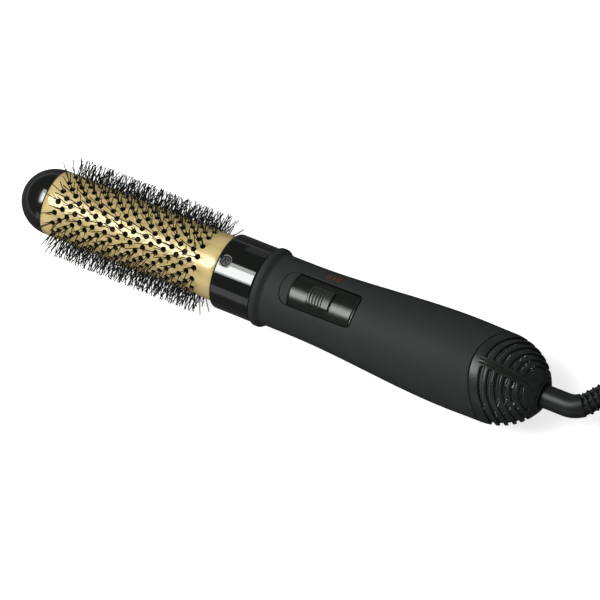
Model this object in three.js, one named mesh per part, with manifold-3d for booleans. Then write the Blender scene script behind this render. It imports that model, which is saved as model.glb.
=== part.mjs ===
// Hot air brush: a perforated barrel full of bristles on a round handle, with a slide switch,
// a slotted air inlet at the rear and a cord on a swivel.
// Units are millimetres. The brush lies along X, with the tip at -X, the switch on top (+Z),
// and it rests on its handle and its lowest bristles.
import * as THREE from "three";
import { mergeVertices } from "three/addons/utils/BufferGeometryUtils.js";
import Module from "manifold-3d";

const wasm = await Module();
wasm.setup();

// ---- Fits and facets ----
const CLEARANCE = 0.3; // between pieces that touch
const ROUND_STEPS = 24; // sides of a turned piece
const SMALL_STEPS = 8; // sides of a screw or its hole
const WELD = 1e-4; // corners closer than this are one corner

// ---- Barrel and tip ----
const BARREL_RADIUS = 19;
const BARREL_WALL = 0.8;
const BARREL_LENGTH = 111.1; // between the tip cap and the collar
const TIP_LENGTH = 21.6;
const TIP_SPIGOT = 5; // how far the tip cap reaches into the barrel
const HOLE_ROWS = 28; // rows of holes round the barrel, one on each flat
const HOLE_PITCH = 8.26; // along a row
const HOLE_RADIUS = 1.6;
const FRONT_BAND = 7; // plain band before the first hole's centre
const REAR_BAND = 10.8; // plain band behind the last hole's centre

// ---- Bristles ----
const SLEEVES = 4;
const SLEEVE_WALL = 1.6;
const STRAND_ROOT = 0.62; // radius of a strand where it leaves its sleeve
const STRAND_SUNK = 0.8; // how deep a strand starts in its sleeve
const STRAND_LEAN = 0.2; // largest lean along the barrel, in radians
const BRISTLE_RADIUS = 29.2; // from the axis to the strands' tips
const LEAN_CYCLE = 5; // strands in one cycle of leans

// ---- Collar and barrel seat ----
const COLLAR_LENGTH = 25.8;
const COLLAR_RADIUS = 21.7;
const COLLAR_WALL = 2.1;
const COLLAR_EDGE = 1.8; // radius of the rounded front edge
const COLLAR_LIP = 2.4; // length of the lip that closes on the barrel
const BARREL_TUCK = 3; // how far the barrel reaches into the collar
const SEAT_SPIGOT = 6; // how far the seat reaches into the barrel
const SEAT_TAIL = 10; // how far the seat reaches into the handle
const SEAT_WALL = 1.6;
const SCREWS = 3;
const SCREW_SETBACK = 5.4; // from the collar's front to the screws
const SCREW_HEAD_RADIUS = 2.5;
const SCREW_HEAD_HEIGHT = 1.1;
const SCREW_SHANK_RADIUS = 1.1;
const SCREW_LENGTH = 4;

// ---- Handle ----
const HANDLE_LENGTH = 142; // from the flange's front to the seam at the sides
const HANDLE_WALL = 2.4;
const NECK_RADIUS = 20.6;
const GRIP_RADIUS = 25.8; // the thickest place, which rests on the table
const SWELL_START = 20;
const SWELL_END = 120;
const FLANGE_RADIUS = 22.8;
const FLANGE_LENGTH = 4.6;
const FLANGE_EDGE = 0.7;
const OUTER_RINGS = 11; // steps of the handle's outer outline
const INNER_RINGS = 5;

// ---- Inlet cap ----
const CAP_RADIUS = 25.5;
const CAP_DOME = 30; // length of the whole half ellipse
const CAP_WALL = 1.6;
const SEAM_SWEEP = 6.8; // how far the seam runs forward on the top and bottom lines
const SWEEP_RUN = 40; // length of handle that follows the seam's sweep
const SLOTS = 6;
const SLOT_START = 0.075; // first slot's front edge, as the dome's angle in radians
const SLOT_PITCH = 0.146;
const SLOT_WIDTH = 0.086;
const SLOT_BREAKS = [0, 13, 30, 47, 64, 77, 90]; // degrees from the top line
const SHORT_SLOT_END = 64;
const SCREEN_WALL = 0.6;

// ---- Switch ----
const PANEL_START = 14.7; // behind the flange's front
const PANEL_END = 60.6;
const PANEL_WIDTH = 19.3;
const PANEL_BULGE = 4.5; // how far the panel's front end bows
const PANEL_CORNER = 3.5;
const PANEL_PROUD = 0.3;
const SLIDER_CENTRE = 38.7; // behind the flange's front
const SLIDER_LENGTH = 14;
const SLIDER_WIDTH = 11;
const SLIDER_HEIGHT = 2.6;
const SLIDER_RIBS = 5;
const RIB_HEIGHT = 0.7;
const SLIDER_STEP = 4; // between two of the three positions
const SCOOP_DEPTH = 1.1;
const SCOOP_MARGIN = 2.5;
const STEM_LENGTH = 5;
const STEM_WIDTH = 3;
const STEM_REACH = 3; // how far the stem reaches into the switch
const MODULE_LENGTH = 24;
const MODULE_WIDTH = 14;
const MODULE_HEIGHT = 9;

// ---- Works inside ----
const MOTOR_RADIUS = 14;
const MOTOR_LENGTH = 32;
const MOTOR_START = 84; // behind the flange's front
const MOUNT_START = 100;
const MOUNT_LENGTH = 8;
const MOUNT_HOLES = 6;
const MOUNT_HOLE_RADIUS = 2.6;
const SHAFT_RADIUS = 1.2;
const SHAFT_DEPTH = 8; // of the shaft in the motor
const FAN_GAP = 2; // between the motor and the fan
const FAN_LENGTH = 9;
const FAN_TIP_GAP = 1.2; // running gap round the fan
const FAN_HUB_RADIUS = 6;
const FAN_BLADES = 7;
const BLADE_THICKNESS = 1.2;
const BLADE_PITCH = 0.6; // in radians
const HEATER_WALL = 0.8;
const HEATER_START = 9.8; // behind the collar's front
const HEATER_LENGTH = 40;
const HEATER_PLATE = 1;

// ---- Cord swivel ----
const CORD_RADIUS = 3;
const DISK_RADIUS = 9.8;
const DISK_PROUD = 0.6;
const SWIVEL_LENGTH = 7;
const SOCKET_LENGTH = 6;
const SOCKET_FLOOR = 1.5;
const BOOT_RADIUS = 6.4;
const BOOT_FLANGE_RADIUS = 8.2;
const BOOT_FLANGE = 2;
const BOOT_STRAIGHT = 13.5; // beyond the disk
const BOOT_BEND_RADIUS = 14;
const BOOT_BEND = 0.925; // in radians, toward +Y
const BOOT_RIBS = 6;
const RIB_PITCH = 3.2;
const RIB_ROOT_RADIUS = 5;
const BOOT_SIDES = 10;

// ---- Cord, coil and plug ----
const COIL_AHEAD = 83; // from the disk to the coil's centre
const COIL_ASIDE = 19.7;
const COIL_OUTER = 37; // centre line of the widest turn
const COIL_TURN_PITCH = 7.4;
const COIL_LAYER_PITCH = 6.6;
const COIL_LAYERS = 4;
const LAYER_STEPS = 26; // steps of one layer's spiral
const TURN_STEPS = 16; // steps of one turn
const COIL_SIDES = 6;
const COIL_ENTRY = 112.5; // degrees, where the cord joins the top layer
const TAIL_ARC_STEPS = 1; // steps on the lowest layer before the cord leaves
const CORD_SIDES = 8;
const LEAD_STEPS = 4;
const TAIL_STEPS = 8;
const TAIL_BEND = 24; // radius of the cord's bend to the plug
const PLUG_WIDTH = 25;
const PLUG_THICKNESS = 18;
const PLUG_LENGTH = 28;
const PLUG_NECK_LENGTH = 11;
const PLUG_NECK_RADIUS = 5;
const PLUG_GAP = 2.5; // between the coil and the plug
const BLADE_LENGTH = 17;
const BLADE_WIDTH = 6.3;
const BLADE_DEPTH = 1.5;
const BLADE_SPACING = 12.7;
const BLADE_ROOT = 6; // how far a blade starts inside the plug
const PLUG_ROUNDING = 4;

// ---- Stations along the brush, from the tip ----
const AT_BARREL = TIP_LENGTH;
const AT_COLLAR = AT_BARREL + BARREL_LENGTH;
const AT_FLANGE = AT_COLLAR + COLLAR_LENGTH;
const AT_SEAM = AT_FLANGE + HANDLE_LENGTH;
const CAP_END_ANGLE = Math.acos((DISK_RADIUS + CLEARANCE) / CAP_RADIUS);
const AT_REAR = AT_SEAM + CAP_DOME * Math.sin(CAP_END_ANGLE);
const AT_SLIDER = AT_FLANGE + SLIDER_CENTRE;
const TABLE = -GRIP_RADIUS; // height of the table below the axis

// ---- Materials ----
const GOLD = { color: 0xc4a565, roughness: 0.35, metalness: 1 };
const GLOSS_BLACK = { color: 0x1c1c1a, roughness: 0.18, metalness: 0 };
const SOFT_GREY = { color: 0x35353a, roughness: 0.75, metalness: 0 };
const SATIN_BLACK = { color: 0x232325, roughness: 0.4, metalness: 0 };
const BRISTLE_BLACK = { color: 0x121212, roughness: 0.55, metalness: 0 };
const CORD_BLACK = { color: 0x151515, roughness: 0.5, metalness: 0 };
const STEEL = { color: 0xb8b8ba, roughness: 0.3, metalness: 1 };
const BRASS = { color: 0xc9a24a, roughness: 0.3, metalness: 1 };
const MICA = { color: 0xb9ab90, roughness: 0.7, metalness: 0 };
const FAN_WHITE = { color: 0xd8d6cf, roughness: 0.5, metalness: 0 };

// ---- Solids ----

// Six times the volume inside a closed mesh, negative where its faces point in.
function sixVolumes(position, index) {
  const corners = [new THREE.Vector3(), new THREE.Vector3(), new THREE.Vector3()];
  let total = 0;
  for (let i = 0; i < index.length; i += 3) {
    corners.forEach((corner, k) => corner.fromBufferAttribute(position, index[i + k]));
    total += corners[0].dot(corners[1].clone().cross(corners[2]));
  }
  return total;
}

// A closed mesh with shared corners, no empty triangles, and its faces pointing out.
function welded(geometry) {
  const bare = new THREE.BufferGeometry();
  bare.setAttribute("position", geometry.getAttribute("position"));
  bare.setIndex(geometry.getIndex());
  const merged = mergeVertices(bare, WELD);
  const all = merged.getIndex().array;
  const index = [];
  for (let i = 0; i < all.length; i += 3) {
    const [a, b, c] = [all[i], all[i + 1], all[i + 2]];
    if (a !== b && b !== c && c !== a) index.push(a, b, c);
  }
  if (sixVolumes(merged.getAttribute("position"), index) < 0) index.reverse();
  merged.setIndex(index);
  return merged;
}

function solid(geometry) {
  const mesh = welded(geometry);
  const vertProperties = Float32Array.from(mesh.getAttribute("position").array);
  const triVerts = Uint32Array.from(mesh.getIndex().array);
  return new wasm.Manifold(new wasm.Mesh({ numProp: 3, vertProperties, triVerts }));
}

function geometryOf(manifold) {
  const mesh = manifold.getMesh();
  const geometry = new THREE.BufferGeometry();
  geometry.setAttribute("position", new THREE.BufferAttribute(mesh.vertProperties, 3));
  geometry.setIndex(new THREE.BufferAttribute(mesh.triVerts, 1));
  return geometry;
}

// A geometry from triangles, each given as three points.
function fromTriangles(triangles) {
  const geometry = new THREE.BufferGeometry();
  const values = triangles.flatMap((triangle) => triangle.flatMap((p) => p.toArray()));
  geometry.setAttribute("position", new THREE.Float32BufferAttribute(values, 3));
  return geometry;
}

// The two triangles between the edges a-b and d-c.
function quad(a, b, c, d) {
  return [[a, b, c], [a, c, d]];
}

// A piece turned about X. The profile lists [x, radius]; it starts and ends on the axis,
// or closes on itself.
function turned(profile, steps = ROUND_STEPS) {
  const points = profile.map(([x, radius]) => new THREE.Vector2(radius, x));
  if (profile[0][1] > 0) points.push(points[0].clone());
  return new THREE.LatheGeometry(points, steps).rotateZ(-Math.PI / 2);
}

// A plain disc, rod or tube about X, from one station to another.
function rod(from, to, radius, steps = ROUND_STEPS) {
  return turned([[from, 0], [from, radius], [to, radius], [to, 0]], steps);
}

function tube(from, to, outer, inner, steps = ROUND_STEPS) {
  return turned([[from, inner], [from, outer], [to, outer], [to, inner]], steps);
}

function block(length, width, height, x, y, z) {
  return new THREE.BoxGeometry(length, width, height).translate(x, y, z);
}

// Bodies between neighbouring rings of points, with a fan over each end.
function lofted(rings) {
  const triangles = [];
  const count = rings[0].length;
  for (let i = 0; i + 1 < rings.length; i += 1) {
    for (let j = 0; j < count; j += 1) {
      const k = (j + 1) % count;
      triangles.push(...quad(rings[i][j], rings[i + 1][j], rings[i + 1][k], rings[i][k]));
    }
  }
  const last = rings[rings.length - 1];
  for (let j = 1; j + 1 < count; j += 1) {
    triangles.push([rings[0][0], rings[0][j], rings[0][j + 1]]);
    triangles.push([last[0], last[j + 1], last[j]]);
  }
  return fromTriangles(triangles);
}

// Rings of points round a path, each square to the path. The rings don't twist.
function ringsAlong(path, radii, sides) {
  const up = new THREE.Vector3(0, 0, 1);
  return path.map((point, i) => {
    const before = path[Math.max(i - 1, 0)];
    const after = path[Math.min(i + 1, path.length - 1)];
    const ahead = after.clone().sub(before).normalize();
    const side = new THREE.Vector3().crossVectors(ahead, up).normalize();
    const top = new THREE.Vector3().crossVectors(side, ahead);
    return Array.from({ length: sides }, (_, j) => {
      const angle = (2 * Math.PI * (j + 0.5)) / sides;
      const ring = side.clone().multiplyScalar(radii[i] * Math.cos(angle));
      return ring.addScaledVector(top, radii[i] * Math.sin(angle)).add(point);
    });
  });
}

// A direction square to the axis, at an angle from +Z toward +Y.
function outward(angle) {
  return new THREE.Vector3(0, Math.sin(angle), Math.cos(angle));
}

// ---- Shared outlines ----

// The handle's radius at a distance behind the flange's front.
function handleRadius(distance) {
  const swell = THREE.MathUtils.smoothstep(distance, SWELL_START, SWELL_END);
  const rear = THREE.MathUtils.smoothstep(distance, SWELL_END, HANDLE_LENGTH);
  return NECK_RADIUS + (GRIP_RADIUS - NECK_RADIUS) * swell - (GRIP_RADIUS - CAP_RADIUS) * rear;
}

// How far a point of the seam runs forward: all of the sweep on the top and bottom lines,
// and none at the sides.
function sweptForward(y, z) {
  const square = y * y + z * z;
  return square > 0 ? (SEAM_SWEEP * z * z) / square : 0;
}

// Moves the rear of a handle piece forward with the seam.
function followSeam(geometry) {
  const position = geometry.getAttribute("position");
  for (let i = 0; i < position.count; i += 1) {
    const [x, y, z] = [position.getX(i), position.getY(i), position.getZ(i)];
    const share = THREE.MathUtils.clamp((x - AT_SEAM + SWEEP_RUN) / SWEEP_RUN, 0, 1);
    position.setX(i, x - share * sweptForward(y, z));
  }
  return geometry;
}

// ---- Tip and barrel ----

const BARREL_FLAT = Math.cos(Math.PI / HOLE_ROWS); // apothem over radius
const BARREL_BORE = (BARREL_RADIUS - BARREL_WALL) * BARREL_FLAT;
const BARREL_END = AT_COLLAR + BARREL_TUCK;

function tipCap() {
  const steps = 7;
  const profile = [];
  for (let i = 0; i <= steps; i += 1) {
    const angle = (i * Math.PI) / 2 / steps;
    profile.push([TIP_LENGTH * (1 - Math.cos(angle)), BARREL_RADIUS * Math.sin(angle)]);
  }
  const spigot = BARREL_BORE - CLEARANCE;
  const end = AT_BARREL + TIP_SPIGOT;
  profile.push([AT_BARREL - CLEARANCE, BARREL_RADIUS], [AT_BARREL - CLEARANCE, spigot]);
  profile.push([end, spigot], [end, spigot - BARREL_WALL * 2]);
  profile.push([AT_BARREL - BARREL_WALL, spigot - BARREL_WALL * 2], [AT_BARREL - BARREL_WALL, 0]);
  profile.splice(steps, 1);
  return turned(profile);
}

// The holes' centres: rows side by side are half a pitch apart.
function holeCentres() {
  const run = BARREL_LENGTH - FRONT_BAND - REAR_BAND;
  const count = Math.floor(run / HOLE_PITCH) + 1;
  const first = AT_BARREL + FRONT_BAND + (run - (count - 1) * HOLE_PITCH) / 2;
  const centres = [];
  for (let row = 0; row < HOLE_ROWS; row += 1) {
    const shift = row % 2;
    for (let i = 0; i < count - shift; i += 1) {
      centres.push({ row, x: first + (i + shift / 2) * HOLE_PITCH });
    }
  }
  return centres;
}

const HOLES = holeCentres();

// The perforated tube has one flat for each row of holes. A flat is triangulated once with
// its holes, laid on the outer and inner sides, and joined at its ends and in its holes.
function barrelTube() {
  const half = Math.PI / HOLE_ROWS;
  const chord = BARREL_RADIUS * Math.sin(half);
  const placed = (point, row, radius) => {
    const direction = outward(2 * half * row);
    const across = outward(2 * half * row + Math.PI / 2);
    const shifted = across.multiplyScalar((point.y * radius) / BARREL_RADIUS);
    const flat = direction.multiplyScalar(radius * Math.cos(half)).add(shifted);
    return flat.setX(point.x);
  };
  const corner = (x, y) => new THREE.Vector2(x, y);
  const triangles = [];
  for (let row = 0; row < HOLE_ROWS; row += 1) {
    const outline = [corner(AT_BARREL, -chord), corner(BARREL_END, -chord)];
    outline.push(corner(BARREL_END, chord), corner(AT_BARREL, chord));
    const holes = HOLES.filter((hole) => hole.row === row).map(({ x }) => [
      corner(x - HOLE_RADIUS, 0),
      corner(x, HOLE_RADIUS),
      corner(x + HOLE_RADIUS, 0),
      corner(x, -HOLE_RADIUS),
    ]);
    const points = [...outline, ...holes.flat()];
    const outer = points.map((point) => placed(point, row, BARREL_RADIUS));
    const inner = points.map((point) => placed(point, row, BARREL_RADIUS - BARREL_WALL));
    for (const face of THREE.ShapeUtils.triangulateShape(outline, holes)) {
      const area = THREE.ShapeUtils.area(face.map((i) => points[i]));
      const [a, b, c] = area > 0 ? face : [...face].reverse();
      triangles.push([outer[a], outer[b], outer[c]], [inner[c], inner[b], inner[a]]);
    }
    const walls = [[1, 2], [3, 0]];
    holes.forEach((_, h) => {
      const at = outline.length + 4 * h;
      walls.push([at, at + 1], [at + 1, at + 2], [at + 2, at + 3], [at + 3, at]);
    });
    for (const [p, q] of walls) triangles.push(...quad(outer[q], outer[p], inner[p], inner[q]));
  }
  return fromTriangles(triangles);
}

// ---- Bristles ----

const SLEEVE_RADIUS = BARREL_BORE - CLEARANCE;

// A three-sided strand that leaves its sleeve, passes its hole's centre and tapers to its tip
// at the bristles' radius.
function strand({ row, x }, order) {
  const direction = outward((2 * Math.PI * row) / HOLE_ROWS);
  const lean = STRAND_LEAN * ((order % LEAN_CYCLE) / (LEAN_CYCLE - 1) - 0.5) * 2;
  const slope = Math.tan(lean);
  const at = (radius) => {
    const point = direction.clone().multiplyScalar(radius);
    return point.setX(x + slope * (radius - BARREL_BORE));
  };
  const across = new THREE.Vector3(0, direction.z, -direction.y);
  const ring = (radius, width) => [0, 1, 2].map((i) => {
    const angle = (2 * Math.PI * i) / 3;
    const point = at(radius).addScaledVector(across, width * Math.sin(angle));
    return point.add(new THREE.Vector3(width * Math.cos(angle), 0, 0));
  });
  const root = ring(SLEEVE_RADIUS - STRAND_SUNK, STRAND_ROOT);
  const tip = at(BRISTLE_RADIUS);
  const sides = [0, 1, 2].map((i) => [root[i], root[(i + 1) % 3], tip]);
  return fromTriangles([[root[2], root[1], root[0]], ...sides]);
}

function joined(geometries) {
  const values = geometries.flatMap((g) => Array.from(g.getAttribute("position").array));
  const geometry = new THREE.BufferGeometry();
  geometry.setAttribute("position", new THREE.Float32BufferAttribute(values, 3));
  return geometry;
}

// One of the rings that line the barrel, with the strands of its part of the barrel, cut
// flat where they rest on the table.
function bristleSleeve(number) {
  const firstHole = Math.min(...HOLES.map((hole) => hole.x));
  const rows = (Math.max(...HOLES.map((hole) => hole.x)) - firstHole) / HOLE_PITCH;
  const joint = (i) => firstHole + HOLE_PITCH * (Math.round((i * rows) / SLEEVES) - 0.25);
  const from = number === 0 ? AT_BARREL + TIP_SPIGOT + CLEARANCE : joint(number) + CLEARANCE;
  const seatStart = AT_COLLAR - SEAT_SPIGOT;
  const to = number === SLEEVES - 1 ? seatStart - CLEARANCE : joint(number + 1);
  const ring = tube(from, to, SLEEVE_RADIUS / BARREL_FLAT, SLEEVE_RADIUS - SLEEVE_WALL, HOLE_ROWS);
  ring.rotateX(Math.PI / HOLE_ROWS);
  const strands = HOLES.map((hole, order) => ({ hole, order }))
    .filter(({ hole }) => hole.x > from && hole.x < to)
    .map(({ hole, order }) => strand(hole, order));
  const reach = 2 * BRISTLE_RADIUS;
  const below = block(to - from + reach, reach, reach, (from + to) / 2, 0, TABLE - reach / 2);
  return geometryOf(solid(ring).add(solid(joined(strands))).subtract(solid(below)));
}

// ---- Collar, seat and screws ----

const COLLAR_BORE = COLLAR_RADIUS - COLLAR_WALL;
const AT_SCREWS = AT_COLLAR + SCREW_SETBACK;
const HANDLE_BORE = NECK_RADIUS - HANDLE_WALL;

// A turned piece moved so that its axis stands out from the brush at a screw's place.
function atScrew(geometry, number) {
  geometry.rotateY(-Math.PI / 2);
  geometry.translate(AT_SCREWS, 0, 0);
  return geometry.rotateX((2 * Math.PI * number) / SCREWS);
}

function collar() {
  const end = AT_FLANGE - CLEARANCE;
  const profile = [];
  const steps = 4;
  for (let i = 0; i <= steps; i += 1) {
    const angle = (i * Math.PI) / 2 / steps;
    const x = AT_COLLAR + COLLAR_EDGE * (1 - Math.sin(angle));
    profile.unshift([x, COLLAR_RADIUS - COLLAR_EDGE * (1 - Math.cos(angle))]);
  }
  const lip = BARREL_RADIUS + CLEARANCE;
  profile.push([end, COLLAR_RADIUS], [end, COLLAR_BORE]);
  profile.push([AT_COLLAR + COLLAR_LIP, COLLAR_BORE], [AT_COLLAR + COLLAR_LIP, lip]);
  profile.push([AT_COLLAR, lip]);
  let body = solid(turned(profile));
  for (let i = 0; i < SCREWS; i += 1) {
    const head = SCREW_HEAD_RADIUS + CLEARANCE;
    const sunk = COLLAR_RADIUS - SCREW_HEAD_HEIGHT - CLEARANCE;
    const shank = SCREW_SHANK_RADIUS + CLEARANCE;
    body = body.subtract(solid(atScrew(rod(sunk, 2 * COLLAR_RADIUS, head, SMALL_STEPS), i)));
    body = body.subtract(solid(atScrew(rod(COLLAR_RADIUS / 2, sunk + 1, shank, SMALL_STEPS), i)));
  }
  return geometryOf(body);
}

function collarScrew(number) {
  const top = COLLAR_RADIUS - CLEARANCE;
  const under = top - SCREW_HEAD_HEIGHT;
  const tip = top - SCREW_LENGTH;
  const profile = [[tip, 0], [tip, SCREW_SHANK_RADIUS], [under, SCREW_SHANK_RADIUS]];
  profile.push([under, SCREW_HEAD_RADIUS], [top - CLEARANCE, SCREW_HEAD_RADIUS]);
  profile.push([top, SCREW_HEAD_RADIUS - CLEARANCE], [top, 0]);
  return atScrew(turned(profile, SMALL_STEPS), number);
}

// The seat holds the barrel's rear end, takes the collar's screws and reaches into the handle.
function barrelSeat() {
  const spigot = BARREL_BORE - CLEARANCE;
  const shoulder = COLLAR_BORE - CLEARANCE;
  const tail = HANDLE_BORE - CLEARANCE;
  const bore = tail - SEAT_WALL;
  const profile = [[AT_COLLAR - SEAT_SPIGOT, bore], [AT_COLLAR - SEAT_SPIGOT, spigot]];
  profile.push([BARREL_END + CLEARANCE, spigot], [BARREL_END + CLEARANCE, shoulder]);
  profile.push([AT_FLANGE - CLEARANCE, shoulder], [AT_FLANGE - CLEARANCE, tail]);
  profile.push([AT_FLANGE + SEAT_TAIL, tail], [AT_FLANGE + SEAT_TAIL, bore]);
  let body = solid(turned(profile));
  for (let i = 0; i < SCREWS; i += 1) {
    const hole = rod(bore / 2, 2 * shoulder, SCREW_SHANK_RADIUS + CLEARANCE, SMALL_STEPS);
    body = body.subtract(solid(atScrew(hole, i)));
  }
  return geometryOf(body);
}

const SEAT_BORE = HANDLE_BORE - CLEARANCE - SEAT_WALL;

// ---- Handle and switch ----

// The handle's solid outline at an offset from its surface, without the flange.
function handleCore(offset, from, to, rings) {
  const profile = [[AT_FLANGE + from, 0]];
  for (let i = 0; i <= rings; i += 1) {
    const distance = from + ((to - from) * i) / rings;
    profile.push([AT_FLANGE + distance, handleRadius(distance) + offset]);
  }
  profile.push([AT_FLANGE + to, 0]);
  return profile;
}

// The panel's outline seen from above, grown on all sides, as a tall prism.
function panelPrism(grown) {
  const half = PANEL_WIDTH / 2 + grown;
  const front = AT_FLANGE + PANEL_START - grown;
  const rear = AT_FLANGE + PANEL_END + grown;
  const shape = new THREE.Shape();
  shape.moveTo(front + PANEL_BULGE, -half);
  shape.lineTo(rear - PANEL_CORNER, -half);
  shape.quadraticCurveTo(rear, -half, rear, -half + PANEL_CORNER);
  shape.lineTo(rear, half - PANEL_CORNER);
  shape.quadraticCurveTo(rear, half, rear - PANEL_CORNER, half);
  shape.lineTo(front + PANEL_BULGE, half);
  shape.quadraticCurveTo(front - PANEL_BULGE, 0, front + PANEL_BULGE, -half);
  const depth = 2 * GRIP_RADIUS;
  return new THREE.ExtrudeGeometry(shape, { depth, bevelEnabled: false, curveSegments: 6 });
}

function handleShell() {
  const edge = FLANGE_RADIUS - FLANGE_EDGE;
  const profile = [[AT_FLANGE, edge], [AT_FLANGE + FLANGE_EDGE, FLANGE_RADIUS]];
  profile.push([AT_FLANGE + FLANGE_LENGTH - FLANGE_EDGE, FLANGE_RADIUS]);
  profile.push([AT_FLANGE + FLANGE_LENGTH, edge]);
  const outer = handleCore(0, FLANGE_LENGTH + FLANGE_EDGE, HANDLE_LENGTH - CLEARANCE, OUTER_RINGS);
  profile.push(...outer.slice(1, -1));
  const inner = handleCore(-HANDLE_WALL, 0, HANDLE_LENGTH - CLEARANCE, INNER_RINGS);
  profile.push(...inner.slice(1, -1).reverse());
  const body = solid(followSeam(turned(profile)));
  return geometryOf(body.subtract(solid(panelPrism(CLEARANCE))));
}

const SCOOP_FLOOR = handleRadius(SLIDER_CENTRE) + PANEL_PROUD - SCOOP_DEPTH;
const STEM_SLOT = STEM_LENGTH + 2 * SLIDER_STEP + 2 * CLEARANCE;

// The panel fills the handle's window. A flat-bottomed scoop holds the slider, and its stem
// runs in a slot.
function switchPanel() {
  const reach = PANEL_BULGE + CLEARANCE;
  const from = PANEL_START - reach;
  const to = PANEL_END + reach;
  const outer = solid(turned(handleCore(PANEL_PROUD, from, to, INNER_RINGS)));
  const inner = solid(turned(handleCore(-HANDLE_WALL, from - 1, to + 1, INNER_RINGS)));
  const length = SLIDER_LENGTH + 2 * SLIDER_STEP + 2 * SCOOP_MARGIN;
  const width = SLIDER_WIDTH + 2 * CLEARANCE;
  const tall = GRIP_RADIUS;
  const scoop = solid(block(length, width, tall, AT_SLIDER, 0, SCOOP_FLOOR + tall / 2));
  const slotWidth = STEM_WIDTH + 2 * CLEARANCE;
  const slot = solid(block(STEM_SLOT, slotWidth, 2 * tall, AT_SLIDER, 0, tall));
  const body = outer.subtract(inner).intersect(solid(panelPrism(0)));
  return geometryOf(body.subtract(scoop).subtract(slot));
}

const MODULE_TOP = Math.sqrt(
  (handleRadius(SLIDER_CENTRE - MODULE_LENGTH / 2) - HANDLE_WALL - CLEARANCE) ** 2 -
    (MODULE_WIDTH / 2) ** 2,
);

// The slider: cross ribs over its front two thirds, a smooth rear third, and a stem below.
function switchSlider() {
  const ribbed = (SLIDER_LENGTH * 2) / 3;
  const pitch = ribbed / SLIDER_RIBS;
  const top = SLIDER_HEIGHT;
  const shape = new THREE.Shape();
  shape.moveTo(0, 0);
  shape.lineTo(SLIDER_LENGTH, 0);
  shape.lineTo(SLIDER_LENGTH, top - RIB_HEIGHT * 2);
  shape.lineTo(SLIDER_LENGTH - RIB_HEIGHT, top - RIB_HEIGHT);
  shape.lineTo(ribbed, top);
  for (let i = SLIDER_RIBS; i > 0; i -= 1) {
    shape.lineTo((i - 0.5) * pitch, top - RIB_HEIGHT);
    shape.lineTo((i - 0.75) * pitch, top);
    shape.lineTo((i - 1) * pitch, top - (i === 1 ? RIB_HEIGHT : 0));
  }
  const bar = new THREE.ExtrudeGeometry(shape, { depth: SLIDER_WIDTH, bevelEnabled: false });
  bar.rotateX(Math.PI / 2);
  const bottom = SCOOP_FLOOR + CLEARANCE;
  bar.translate(AT_SLIDER - SLIDER_LENGTH / 2, SLIDER_WIDTH / 2, bottom);
  const stemTop = bottom + RIB_HEIGHT;
  const stemEnd = MODULE_TOP - STEM_REACH;
  const middle = (stemTop + stemEnd) / 2;
  const stem = block(STEM_LENGTH, STEM_WIDTH, stemTop - stemEnd, AT_SLIDER, 0, middle);
  return geometryOf(solid(bar).add(solid(stem)));
}

// The switch itself hangs under the handle's top wall, with a groove for the stem.
function switchModule() {
  const middle = MODULE_TOP - MODULE_HEIGHT / 2;
  const body = block(MODULE_LENGTH, MODULE_WIDTH, MODULE_HEIGHT, AT_SLIDER, 0, middle);
  const depth = STEM_REACH + CLEARANCE;
  const width = STEM_WIDTH + 2 * CLEARANCE;
  const groove = block(STEM_SLOT, width, 2 * depth, AT_SLIDER, 0, MODULE_TOP);
  return geometryOf(solid(body).subtract(solid(groove)));
}

// ---- Inlet cap ----

// A point of the cap's dome: share 0 at the seam and 1 at the swivel's hole, turned by a
// direction from +Z toward +Y, and swept forward with the seam, less and less to the rear.
function domePoint(share, turn, inset) {
  const angle = share * Math.acos((DISK_RADIUS + CLEARANCE) / (CAP_RADIUS - inset));
  const radius = (CAP_RADIUS - inset) * Math.cos(angle);
  const along = (CAP_DOME - inset) * Math.sin(angle);
  const forward = SEAM_SWEEP * (1 - share ** 2) * Math.cos(turn) ** 2;
  return outward(turn).multiplyScalar(radius).setX(AT_SEAM + along - forward);
}

// The directions of the cap's facets: one quarter's breaks, mirrored all round.
function capTurns() {
  const quarter = SLOT_BREAKS.slice(0, -1);
  const turns = [0, 1, 2, 3].flatMap((q) => {
    const breaks = q % 2 ? SLOT_BREAKS.slice(1).map((b) => 90 - b).reverse() : quarter;
    return breaks.map((b) => 90 * q + b);
  });
  return turns.map((turn) => THREE.MathUtils.degToRad(turn));
}

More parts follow.
